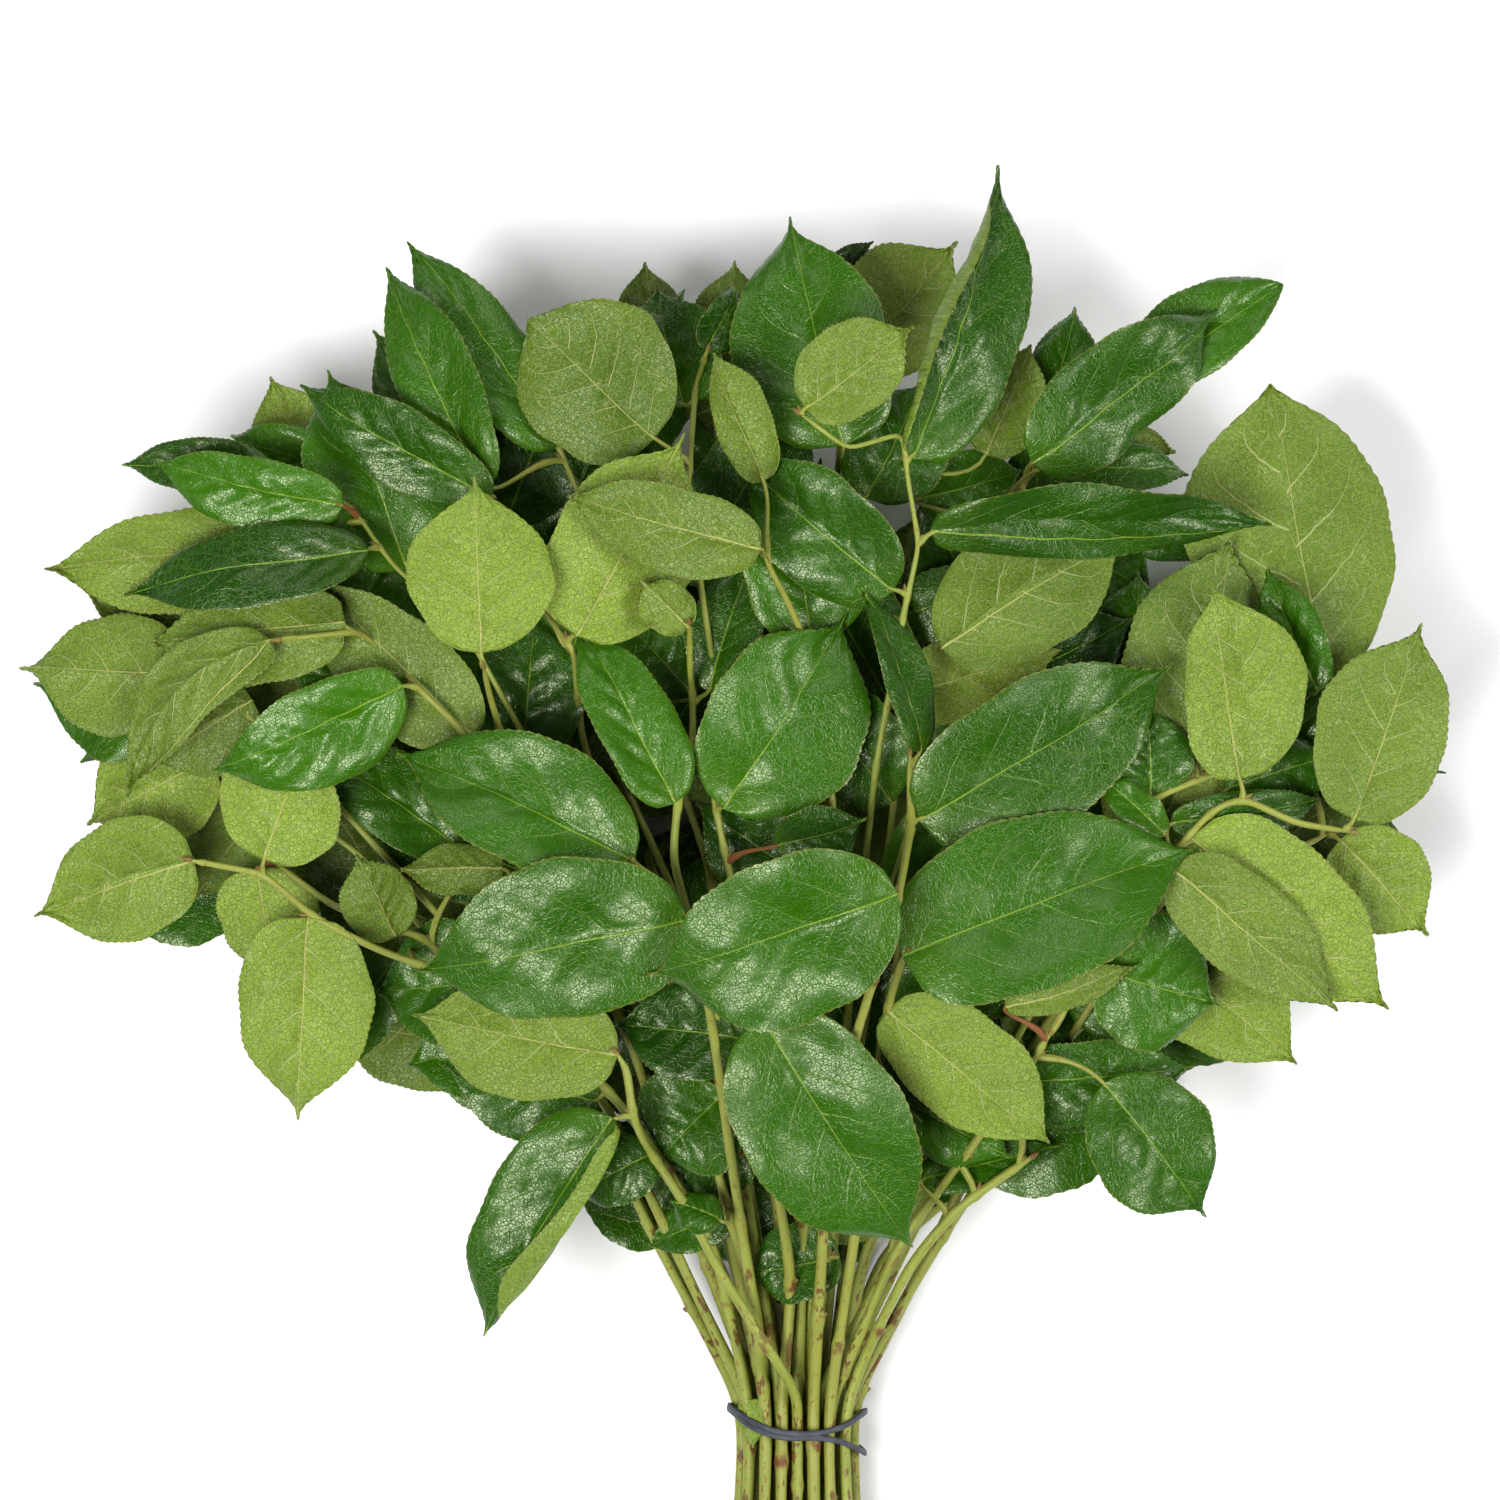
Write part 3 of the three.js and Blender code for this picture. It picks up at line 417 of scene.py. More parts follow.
def tie_places():
    """Places for the stems inside the tie: rows of points in an ellipse, from the lowest row up."""
    rows = []
    half = math.floor(TIE_HALF_HEIGHT / ROW_PITCH)
    for row in range(-half, half + 1):
        z = row * ROW_PITCH
        reach = (TIE_HALF_WIDTH - 0.4) * math.sqrt(1 - (z / (TIE_HALF_HEIGHT + 1)) ** 2)
        count = math.floor(2 * reach / STEM_PITCH) + 1
        rows.append([((k - (count - 1) / 2) * STEM_PITCH, TIE_HEIGHT + z) for k in range(count)])
    return rows


def share_tie(tips):
    """Gives every tip a place in the tie: steeper tips in higher rows, and in each row from left to right."""

    def steepness(tip):
        return np.mean([(leaf.base[2] - TIE_HEIGHT) / math.hypot(*leaf.base[:2]) for leaf in tip.leaves])

    waiting = sorted(tips, key=steepness)
    for row in tie_places():
        chosen = sorted(waiting[: len(row)], key=lambda tip: math.atan2(*tip.route[0]))
        waiting = waiting[len(row) :]
        for tip, place in zip(chosen, row):
            tip.place = place


def stem_points(tip, index):
    """The stem's points in space: its height runs smoothly from its place in the tie to its leaves' bases.

    At a distance s from the tie the height is the mean of the held heights, each weighing
    1 / (HELD_FIRMNESS + ((s - its distance) / HELD_REACH)^2).
    """
    x, z = tip.place
    plan = np.vstack([[x, 0], tip.route])
    distance = np.concatenate([[0], np.cumsum(np.linalg.norm(np.diff(plan, axis=0), axis=1))])
    spread = max(STEM_RADIUS + 0.3, TIE_HEIGHT + (z - TIE_HEIGHT) * ROW_SPREAD)
    held = [
        (distance[np.argmin(np.linalg.norm(plan - leaf.base[:2], axis=1))], leaf.base[2])
        for leaf in tip.leaves
    ]
    held_at, held_z = np.array(held + [(0, z), (ROWS_SPREAD_AT, spread + tip.crossing)]).T
    pull = 1 / (HELD_FIRMNESS + ((distance[1:, None] - held_at) / HELD_REACH) ** 2)
    height = (pull * held_z).sum(axis=1) / pull.sum(axis=1)
    end = STEM_BELOW_TIE + STEM_END_STEP * ((index * 3) % 4)
    lowered = max(STEM_RADIUS + 0.1, TIE_HEIGHT + (z - TIE_HEIGHT) * END_SAG)
    below = [[x * SPLAY, -end, lowered], [x, -STRAIGHT_AT_TIE, z], [x, STRAIGHT_AT_TIE, z]]
    return np.vstack([below, np.column_stack([tip.route, height])])


def laid_out_tips():
    """Every tip with its leaves laid and its stem's points, in the bunch's layout in millimetres."""
    tips = [tip_of(*row) for row in TIPS] + [under_tip(index) for index in range(UNDER_TIPS)]
    lay_leaves([leaf for tip in tips for leaf in tip.leaves])
    share_tie(tips)
    for index, tip in enumerate(tips):
        tip.points = stem_points(tip, index)
    add_fill_leaves(tips)
    return tips


def closed_over(cover, reach):
    """The covered cells with gaps up to twice the reach closed: grown by the reach and shrunk again."""
    grown = cover.reshape(HEAP_CELLS, HEAP_CELLS)
    for step, grow in [(step, True) for step in range(reach)] + [(step, False) for step in range(reach)]:
        turns = [np.roll(grown, shift, axis) for axis in (0, 1) for shift in (-1, 1)]
        if step % 2:
            turns += [np.roll(np.roll(grown, a, 0), b, 1) for a in (-1, 1) for b in (-1, 1)]
        grown = np.logical_or.reduce([grown, *turns]) if grow else np.logical_and.reduce([grown, *turns])
    return grown.ravel()


def add_fill_leaves(tips):
    """Gives the shoots the leaves between the laid ones, which close the heap's gaps further down.

    They stand every FILL_STEP along the upper part of each stem, in turn at its left and its right; where
    one would cover bare ground, at both. Each is lowered, a level at a time, until it passes under what
    lies on top and between all that lies lower, and left out where no level will do or where it would show
    outside the bunch.
    """
    on_top = np.full(HEAP_CELLS**2, -np.inf)
    taken = np.zeros((HEAP_CELLS**2, FILL_LEVELS), bool)
    cover = np.zeros(HEAP_CELLS**2, bool)

    def level_of(z):
        return np.clip(z / FILL_LEVEL, 0, FILL_LEVELS - 1).astype(int)

    def take(cell, z, clear):
        for step in range(-clear, clear + 1):
            taken[cell, np.clip(level_of(z) + step, 0, FILL_LEVELS - 1)] = True

    for tip in tips:
        tip.fill = []
        laid = [solid_leaf_cells(leaf) for leaf in tip.leaves]
        for cell, z in laid:
            cover[cell] = True
            take(cell, z, FILL_CLEAR_LEVELS)
        path, _ = smoothed_path(tip.points, 2.5, 0.5, 0.5, 1)
        path = path[path[:, 1] > FILL_STEMS_FROM]
        stem = (cells_of(path[:, 0], path[:, 1]), path[:, 2] - STEM_RADIUS)
        if tip.name in SEEN_STEMS:
            take(*stem, 0)
            laid.append(stem)
        if not tip.name.startswith("under"):
            for cell, z in laid:
                np.maximum.at(on_top, cell, z)
    on_top[np.isneginf(on_top)] = np.inf
    inside = closed_over(cover, FILL_CLOSES)
    for index, tip in enumerate(tips):
        draw = np.random.default_rng(FILL_SEED + index)
        path, at = smoothed_path(tip.points, 2.5, 6, 3, THIN_FROM)
        places = np.arange(at[-1] * draw.uniform(*FILL_FIRST), at[-1] * FILL_LAST, FILL_STEP)
        for k, side in [(k, side) for k in range(len(places)) for side in (1, -1)]:
            joint = int(np.searchsorted(at, places[k]))
            heading = path[min(joint + 2, len(path) - 1)] - path[joint - 2]
            turn = math.atan2(heading[1], heading[0]) + side * draw.uniform(*FILL_TURN)
            face = "U" if draw.uniform() < FILL_GLOSSY_SHARE else "L"
            reach, width, rise, roll = draw.uniform(FILL_LEAST, FILL_MOST)
            x, y, z = path[joint]
            for size in FILL_SIZES:
                end = (x + size * reach * math.cos(turn), y + size * reach * math.sin(turn))
                leaf = leaf_of(face, x, y, *end, size * width, z, size * rise, roll)
                cell, height = solid_leaf_cells(leaf)
                fresh = np.count_nonzero(~cover[np.unique(cell)])
                in_turn = side == (1 if (index + k // 2) % 2 else -1) and k % 2 == 0
                if not inside[cell].all() or not (in_turn or fresh > FILL_FRESH):
                    continue
                lowered = height - FILL_LEVEL * np.arange(FILL_DROPS)[:, None]
                beneath = (lowered < on_top[cell] - FILL_CLEAR_LEVELS * FILL_LEVEL).all(axis=1)
                clear = ~taken[cell, level_of(lowered)].any(axis=1)
                fits = np.flatnonzero(beneath & clear & (lowered.min(axis=1) > FILL_LOWEST))
                if len(fits):
                    leaf.base[2] -= FILL_LEVEL * fits[0]
                    take(cell, lowered[fits[0]], FILL_CLEAR_LEVELS)
                    cover[cell] = True
                    tip.fill.append(leaf)
                    break


# Leaves -------------------------------------------------------------------------------------------


def leaf_outline(u, grown):
    """Half the blade's width as a share of its greatest: (sine of pi u^widest)^(roundness + drawn u^6).

    The growing exponent draws the round blade out to a sharp, slightly hollow-sided tip.
    """
    return np.sin(np.pi * np.clip(u, 0, 1) ** grown.widest) ** (grown.roundness + grown.drawn * u**6)


def smooth(low, high, x):
    """0 below low, 1 above high and an even S-curve 3 t^2 - 2 t^3 between them."""
    t = np.clip((x - low) / (high - low), 0, 1)
    return t * t * (3 - 2 * t)


def leaf_character(number, leaf):
    """One leaf's own turn of growth, drawn from a generator seeded with the leaf's number."""
    draw = np.random.default_rng(LEAF_SEED + number)
    slim = leaf.half_width / leaf.length
    return SimpleNamespace(
        widest=draw.uniform(0.7, 0.86),
        roundness=draw.uniform(0.4, 0.56),
        drawn=draw.uniform(1.0, 1.7) * min(1.8, max(0.9, (slim / 0.27) ** 1.5)),
        lean=draw.uniform(-0.035, 0.035),
        twist=draw.uniform(-0.14, 0.14),
        droop=draw.uniform(0.01, 0.045),
        wave=draw.uniform(0.5, 1.5) * min(1, slim * 3.4),
        wave_turns=draw.uniform(1.3, 2.4, 2),
        wave_start=draw.uniform(0, 2 * np.pi, 2),
        veins=draw.uniform(4.9, 6.4),
        cup=draw.uniform(0.5, 2.2),
        pucker=draw.uniform(0.6, 1.25),
        swell=draw.uniform(0, 2 * np.pi, 6),
        fold=0.0,
        fold_at=0.4,
        fold_side=1,
        wide=1.0,
        hue=draw.uniform(0, 1),
        tooth=draw.uniform(0.7, 1.2),
    )


def vein_phase(u, v, grown):
    """Counts the side veins from the base: n (u - 0.24 |v| - 0.13 |v|^3), plus 0.42 on one side."""
    reach = np.abs(v)
    return grown.veins * (u - 0.24 * reach - 0.13 * reach**3) + 0.42 * (v > 0) + 0.35


def leaf_sheet(leaf, grown, u, v, sizes):
    """The blade's middle surface as points in millimetres, from u along it and v across it.

    Across: the outline's half width times v, uneven by 0.03 sin 9u and 0.015 sin 23u, with small forward
    teeth at the edge, and bent sideways like a sickle by lean 4 u (1 - u) of the length. Upwards, in the
    leaf's own frame with its glossy side up: the solid leaf's bow and cup, plus a wave along each edge that
    grows with |v|^2.2, a hump sqrt(sin^2 + 0.03) of the vein count between each two side veins, a few slow
    swells, an edge that rolls to the pale side and a tip that droops to it. A folded blade turns up beyond
    a line along it: an arc of FOLD_RADIUS and then straight on. Each station is last turned about the
    leaf's length by the twist, and no point stays lower than LOWEST_SHEET.
    """
    reach = np.abs(v)
    sickle = leaf.face_up * grown.lean
    half = grown.wide * leaf.half_width * leaf_outline(u, grown)
    uneven = 0.03 * np.sin(9 * u + grown.swell[0] + np.sign(v))
    half = half * (1 + uneven + 0.015 * np.sin(23 * u + grown.swell[1]))
    half = np.maximum(half, 0.9 - 0.65 * u)
    stations = np.arange(u.size).reshape(u.shape)
    tooth = sizes.tooth * grown.tooth * (stations % 2) * smooth(0.86, 1, reach)
    tooth = tooth * smooth(0, 0.08, u) * (u < 0.995)
    x = (half + tooth) * v + sickle * leaf.length * 4 * u * (1 - u)
    y = leaf.length * u + tooth * 0.9
    bow = leaf.face_up * leaf.length * LEAF_BOW * 4 * u * (1 - u)
    cup = grown.cup * LEAF_CUP * half * (np.sqrt(v**2 + 0.004) - 0.063)
    wave_at = [2 * np.pi * grown.wave_turns[k] * u + grown.wave_start[k] for k in (0, 1)]
    wave = np.where(v > 0, np.sin(wave_at[0]), np.sin(wave_at[1]))
    wave = grown.wave * wave * reach**2.2 * smooth(0, 0.2, u)
    phase = vein_phase(u, v, grown)
    hump = np.sqrt(np.sin(np.pi * phase) ** 2 + 0.03) - 0.55
    hump = hump * smooth(0, 0.16, reach) * (1 - reach**3) * np.sin(np.pi * np.clip(u, 0.02, 0.98)) ** 0.6
    ripple = np.sin(x / 3.1 + grown.swell[0]) * np.sin(y / 4.3 + grown.swell[1])
    slanting = 0.7 * np.sin(x / 2.2 + y / 5.1 + grown.swell[2])
    ripple = ripple + slanting * np.sin(y / 3.3 - x / 4.7 + grown.swell[3])
    swell = np.sin(x / 6.5 + grown.swell[4]) * np.sin(y / 9.5 + grown.swell[5])
    roll = -sizes.roll * smooth(0.72, 1, reach) * (1 - 0.5 * u)
    droop = -grown.droop * leaf.length * smooth(0.66, 1.05, u) ** 1.5
    puckered = sizes.pucker * grown.pucker * hump * min(1, leaf.half_width / 18)
    uneven = (sizes.ripple * ripple + sizes.swell * swell) * (1 - reach**4) * smooth(0, 0.12, u)
    z = leaf.bend * (bow + cup) + droop + wave + puckered + uneven + roll
    middle = sickle * leaf.length * 4 * u * (1 - u)
    if grown.fold:
        bent_from = grown.fold_at * half * (1 + 0.3 * np.sin(5 * u))
        beyond = np.maximum(0, grown.fold_side * (x - middle) - bent_from)
        angle = np.minimum(beyond / FOLD_RADIUS, grown.fold)
        straight = beyond - angle * FOLD_RADIUS
        x = x + grown.fold_side * (FOLD_RADIUS * np.sin(angle) + straight * np.cos(angle) - beyond)
        z = z + FOLD_RADIUS * (1 - np.cos(angle)) + straight * np.sin(angle)
    turn = grown.twist * (u - 0.35)
    side, up = x - middle, z
    x = middle + side * np.cos(turn) - up * np.sin(turn)
    z = side * np.sin(turn) + up * np.cos(turn)
    axes = (leaf.face_up * leaf.across, leaf.along, leaf.face_up * leaf.normal)
    points = leaf.base + sum(part[..., None] * axis for part, axis in zip((x, y, z), axes))
    points[..., 2] = np.maximum(points[..., 2], LOWEST_SHEET)
    return points, np.stack([x, y, np.full_like(x, grown.hue)], axis=-1), phase


def leaf_mesh(leaf, grown, sizes):
    """A closed thin shell round the blade: the sheet moved both ways along its normals, joined at its edge.

    The pale side also carries the midrib, a ridge exp(-(x / 0.75)^2) that thins towards the tip, and the
    glossy side a groove over it. Both sides split their faces along the same diagonal, so that they never
    cross.
    """
    u = (np.arange(sizes.stations + 1) / sizes.stations)[:, None]
    columns = LEAF_COLUMNS[:: 1 if sizes.stations > 40 else 2]
    v = np.concatenate([-columns[::-1], columns[1:]])[None, :]
    u, v = np.broadcast_to(u, (u.size, v.size)).copy(), np.broadcast_to(v, (u.size, v.size)).copy()
    sheet, place, phase = leaf_sheet(leaf, grown, u, v, sizes)
    normal = np.cross(np.gradient(sheet, axis=0), np.gradient(sheet, axis=1))
    normal /= np.maximum(np.linalg.norm(normal, axis=-1, keepdims=True), 1e-9)
    half = leaf.half_width * leaf_outline(u, grown)
    line = np.exp(-((v * half / 0.75) ** 2))
    inner = np.zeros_like(u)
    inner[1:-1, 1:-1] = 1
    glossy = sheet + normal * ((sizes.thickness / 2 - sizes.groove * line * (1 - u)) * inner)[..., None]
    rib = sizes.rib * line * (1 - u) ** 0.8
    pale = sheet - normal * ((sizes.thickness / 2 + rib) * inner)[..., None]
    rows, columns = u.shape
    upper = np.arange(rows * columns).reshape(rows, columns)
    lower = upper.copy()
    lower[1:-1, 1:-1] = rows * columns + np.arange((rows - 2) * (columns - 2)).reshape(rows - 2, columns - 2)
    vertices = np.vstack([glossy.reshape(-1, 3), pale[1:-1, 1:-1].reshape(-1, 3)])
    share = np.stack([v, u, phase], axis=-1)
    places = np.vstack([place.reshape(-1, 3), place[1:-1, 1:-1].reshape(-1, 3)])
    shares = np.vstack([share.reshape(-1, 3), share[1:-1, 1:-1].reshape(-1, 3)])
    faces = np.vstack([quads(upper), quads(lower)[:, SAME_DIAGONAL]])
    finish = np.repeat([0, 1], (rows - 1) * (columns - 1))
    return Shell(vertices, faces, finish, places, shares)


def quads(grid):
    """Faces of a grid of vertex numbers, turned so that rows x columns gives their outward side."""
    corners = (grid[:-1, :-1], grid[1:, :-1], grid[1:, 1:], grid[:-1, 1:])
    return np.stack([corner.ravel() for corner in corners], axis=1)


# Tubes --------------------------------------------------------------------------------------------


def tube(centres, radii, sides, finish=0, share=None, uneven=0.0, seed=0, cut=(0, 0)):
    """A closed tube: a ring of corners square to the path about each centre, and a point at each end.

    A ring's corners lie at radius (1 + uneven sin(2 a + s / 9)) with a the turn round the path and s the
    distance along it. The place kept at each corner is (s, a, seed); cut marks flat ends.
    """
    step = np.gradient(centres, axis=0)
    forward = step / np.maximum(np.linalg.norm(step, axis=1, keepdims=True), 1e-9)
    chord = centres[-1] - centres[0]
    steep = abs(chord[2]) >= STEEP_SHARE * np.linalg.norm(chord)
    reference = np.array([1.0, 0, 0]) if steep else np.array([0.0, 0, 1])
    aside = np.cross(forward, reference)
    aside /= np.linalg.norm(aside, axis=1, keepdims=True)
    upward = np.cross(aside, forward)
    distance = np.concatenate([[0], np.cumsum(np.linalg.norm(np.diff(centres, axis=0), axis=1))])
    turn = 2 * np.pi * np.arange(sides) / sides
    radius = radii[:, None] * (1 + uneven * np.sin(2 * turn[None, :] + distance[:, None] / 9 + seed))
    ring = np.cos(turn)[None, :, None] * aside[:, None, :] + np.sin(turn)[None, :, None] * upward[:, None, :]
    body = centres[:, None, :] + radius[..., None] * ring
    rows = len(centres)
    vertices = np.vstack([body.reshape(-1, 3), centres[[0, -1]]])
    grid = np.arange(rows * sides).reshape(rows, sides)
    grid = np.hstack([grid, grid[:, :1]])
    faces = quads(grid)[:, ::-1]
    first, last = rows * sides, rows * sides + 1
    start = np.stack([np.full(sides, first), grid[0, :-1], grid[0, 1:]], axis=1)
    end = np.stack([np.full(sides, last), grid[-1, 1:], grid[-1, :-1]], axis=1)
    around = np.broadcast_to(turn[None, :], (rows, sides))
    along = np.broadcast_to(distance[:, None], (rows, sides))
    place = np.stack([along, around * radii.mean(), np.full_like(around, seed)], axis=-1).reshape(-1, 3)
    place = np.vstack([place, [[0, 0, seed], [distance[-1], 0, seed]]])
    shares = np.zeros((rows, 3)) if share is None else share
    shares = np.repeat(shares, sides, axis=0)
    ends = np.vstack([shares[0], shares[-1]])
    ends[:, 2] = cut
    return Shell(vertices, faces, np.full(len(faces), finish), place, np.vstack([shares, ends]), [start, end])


def smoothed_path(points, step, near, far, reach):
    """Points every step along a polyline, each the Gaussian mean of its surroundings.

    The mean's spread goes from near at the tie to far at the distance reach, so that corners are rounded
    more on the thick lower stem than on the thin zigzag shoot. The two ends stay where they are.
    """
    gaps = np.linalg.norm(np.diff(points, axis=0), axis=1)
    distance = np.concatenate([[0], np.cumsum(gaps)])
    at = np.linspace(0, distance[-1], max(4, round(distance[-1] / step)))
    rows = np.stack([np.interp(at, distance, points[:, k]) for k in range(3)], axis=1)
    spread = near + (far - near) * np.clip(np.hypot(rows[:, 0], rows[:, 1]) / reach, 0, 1)
    spread = np.minimum(spread, 0.25 * np.minimum(at, at[-1] - at) + 0.05)
    weight = np.exp(-(((at[:, None] - at[None, :]) / spread[:, None]) ** 2) / 2)
    weight /= weight.sum(axis=1, keepdims=True)
    return weight @ rows, at


def bent_path(start, leave, arrive, end, count):
    """A cubic bend from start towards leave, coming to end along arrive."""
    t = np.linspace(0, 1, count)[:, None]
    return (1 - t) ** 3 * start + 3 * t * (1 - t) ** 2 * leave + 3 * t**2 * (1 - t) * arrive + t**3 * end


class Shell:
    """A closed surface: vertices in millimetres with place and share, and faces with their finish."""

    def __init__(self, vertices, faces, finish, place, share, fans=()):
        self.vertices = vertices
        self.faces = [faces]
        self.finish = finish
        self.place = place
        self.share = share
        for fan in fans:
            self.faces.append(fan)
            self.finish = np.concatenate([self.finish, np.full(len(fan), finish[0])])


def make_piece(name, shells, finishes, sharp=50):
    """One object from closed shells, moved to the part's place and turned from millimetres into metres."""
    mesh = bpy.data.meshes.new(name)
    starts = np.concatenate([[0], np.cumsum([len(shell.vertices) for shell in shells])])
    vertices = np.vstack([shell.vertices for shell in shells]) * MILLIMETRE + LAYOUT_ORIGIN
    vertices[:, 2] = np.maximum(vertices[:, 2], 0)
    faces = [faces + start for shell, start in zip(shells, starts) for faces in shell.faces]
    corners = np.concatenate([group.ravel() for group in faces]).astype(np.int32)
    totals = np.concatenate([np.full(len(group), group.shape[1]) for group in faces]).astype(np.int32)
    mesh.vertices.add(len(vertices))
    mesh.vertices.foreach_set("co", vertices.astype(np.float32).ravel())
    mesh.loops.add(len(corners))
    mesh.loops.foreach_set("vertex_index", corners)
    mesh.polygons.add(len(totals))
    mesh.polygons.foreach_set("loop_start", (np.cumsum(totals) - totals).astype(np.int32))
    mesh.polygons.foreach_set("loop_total", totals)
    for finish in finishes:
        mesh.materials.append(finish)
    mesh.polygons.foreach_set("material_index", np.concatenate([s.finish for s in shells]).astype(np.int32))
    mesh.update(calc_edges=True)
    mesh.polygons.foreach_set("use_smooth", np.ones(len(totals), bool))
    scale = np.array([MILLIMETRE, MILLIMETRE, 1])
    for layer, values in (
        ("grown_place", np.vstack([s.place for s in shells]) * scale),
        ("grown_share", np.vstack([s.share for s in shells])),
    ):
        data = mesh.attributes.new(layer, "FLOAT_VECTOR", "POINT").data
        data.foreach_set("vector", values.astype(np.float32).ravel())
    mesh.set_sharp_from_angle(angle=math.radians(sharp))
    if mesh.validate():
        raise RuntimeError(name + " has faults in its mesh")
    piece = bpy.data.objects.new(name, mesh)
    bpy.context.scene.collection.objects.link(piece)
    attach(piece, "root")
    return piece


# Stems --------------------------------------------------------------------------------------------


def stem_radius(points):
    """A stem is thickest in the tie and thinner the farther it is from it."""
    share = np.minimum(1, np.hypot(points[:, 0], points[:, 1]) / THIN_FROM)
    return STEM_RADIUS + (GREEN_SHOOT_RADIUS - STEM_RADIUS) * share


def nearest_on(path, point):
    """The number of the path's point nearest to a point."""
    return int(np.argmin(np.linalg.norm(path - point, axis=1)))


def stem_shells(tip, index, sizes):
    """A tip's stem with its nodes, petioles and buds.

    The radius is the solid stem's, plus a bulge exp(-((s - node) / 2.4)^2) at each leaf and at each old
    leaf scar below, and it tapers off at the end bud.
    """
    draw = np.random.default_rng(STEM_SEED + index)
    path, at = smoothed_path(tip.points, sizes.step, sizes.bend_low, sizes.bend_high, THIN_FROM)
    spare = smooth(0, 40, at) * smooth(0, 25, at[-1] - at) * smooth(30, 90, np.hypot(path[:, 0], path[:, 1]))
    for axis in (0, 2):
        turns = draw.uniform(26, 44, 2)
        starts = draw.uniform(0, 2 * np.pi, 2)
        strays = np.sin(at / turns[0] + starts[0]) + np.sin(at / turns[1] + starts[1])
        path[:, axis] += sizes.wobble * spare * strays
    leaves = tip.leaves + tip.fill
    joints = [nearest_on(path, leaf.base) for leaf in leaves]
    leafy_from = min(at[joint] for joint in joints)
    scars = np.arange(draw.uniform(10, 60), leafy_from - 14, draw.uniform(*SCAR_SPACING))
    nodes = np.array([at[joint] for joint in joints] + list(scars))
    near_node = np.exp(-(((at[:, None] - nodes) / 2.4) ** 2)).max(axis=1)
    scarred = np.exp(-(((at[:, None] - np.append(scars, -99)) / 3.2) ** 2)).max(axis=1)
    radius = stem_radius(path) * (1 + sizes.node * near_node) * draw.uniform(0.86, 1.04)
    radius = radius * (1 - 0.62 * smooth(at[-1] - 7, at[-1], at))
    path[:, 2] = np.maximum(path[:, 2], radius * 1.06 + 0.1)
    age = 1 - smooth(0.15, 0.95, at / at[-1])
    share = np.stack([age, np.maximum(near_node * 0.6, scarred), np.zeros_like(at)], axis=1)
    shells = [tube(path, radius, sizes.sides, 0, share, 0.05, index + draw.uniform(0, 0.9), (1, 0))]
    for k, (leaf, joint) in enumerate(zip(leaves, joints)):
        shells.extend(petiole_shells(leaf, path, max(1, joint - k % 3), radius, index + k / 12))
    for k, scar in enumerate(scars):
        shells.append(scar_shell(path, at, radius, scar, index * 7 + k))
    tail = path[-1] - path[-3]
    aim = tail / np.linalg.norm(tail)
    shells.append(bud_shell(path[-1] - tail * 0.1, aim, END_BUD_LENGTH, END_BUD_WIDTH, index))
    return shells


def petiole_shells(leaf, path, joint, radius, seed):
    """A petiole, from inside the stem to just inside the blade, and the small bud in its corner."""
    root = path[joint]
    forward = path[min(joint + 2, len(path) - 1)] - path[max(joint - 2, 0)]
    forward /= np.linalg.norm(forward)
    end = leaf.base + leaf.along * leaf.length * PETIOLE_IN_BLADE
    run = np.linalg.norm(end - root)
    away = (end - root) / max(run, 1e-6)
    leave = root + (0.55 * forward + away) * run * 0.3
    arrive = end - leaf.along * run * 0.35
    line = bent_path(root, leave, arrive, end, 11)
    t = np.linspace(0, 1, 11)
    thickness = 0.95 + 0.45 * np.exp(-(((t - 0.18) / 0.16) ** 2)) - 0.3 * t
    share = np.stack([0.2 * (1 - t), 0.55 * np.exp(-((t / 0.3) ** 2)), np.zeros_like(t)], axis=1)
    shells = [tube(line, thickness, 7, 0, share, 0, seed)]
    aim = forward * 0.8 + away * 0.5
    aim /= np.linalg.norm(aim)
    shells.append(bud_shell(root + aim * radius[joint] * 0.9, aim, BUD_LENGTH, BUD_WIDTH, seed))
    return shells


def bud_shell(foot, aim, length, width, seed):
    """A pointed bud: rings of radius width (sine of pi t^0.6)^0.8 along a line that ends in a point."""
    t = np.linspace(0, 1, 7)
    radius = np.maximum(0.12, width * np.sin(np.pi * np.clip(t, 0.02, 1) ** 0.6) ** 0.8)
    share = np.stack([np.zeros_like(t), np.ones_like(t), np.zeros_like(t)], axis=1)
    return tube(foot + aim * (t[:, None] * length), radius, 6, 1, share, 0, seed)


def scar_shell(path, at, radius, scar, seed):
    """The small dried stub at an old leaf scar: a short blunt tube that leans up the stem."""
    joint = int(np.argmin(np.abs(at - scar)))
    forward = path[min(joint + 1, len(path) - 1)] - path[joint - 1]
    forward /= np.linalg.norm(forward)
    aside = np.cross(forward, [math.cos(seed * 2.4), 0, math.sin(seed * 2.4)])
    aside /= np.linalg.norm(aside)
    stub = np.linspace(0, 1, 5)[:, None] * (aside * 0.8 + forward) * SCAR_LENGTH
    line = path[joint] + aside * radius[joint] * 0.7 + stub
    thickness = np.array([0.95, 1.0, 0.85, 0.6, 0.3]) * 0.9
    share = np.tile([0.6, 1.0, 0.0], (5, 1))
    return tube(line, thickness, 6, 1, share, 0, seed)


# Band ---------------------------------------------------------------------------------------------


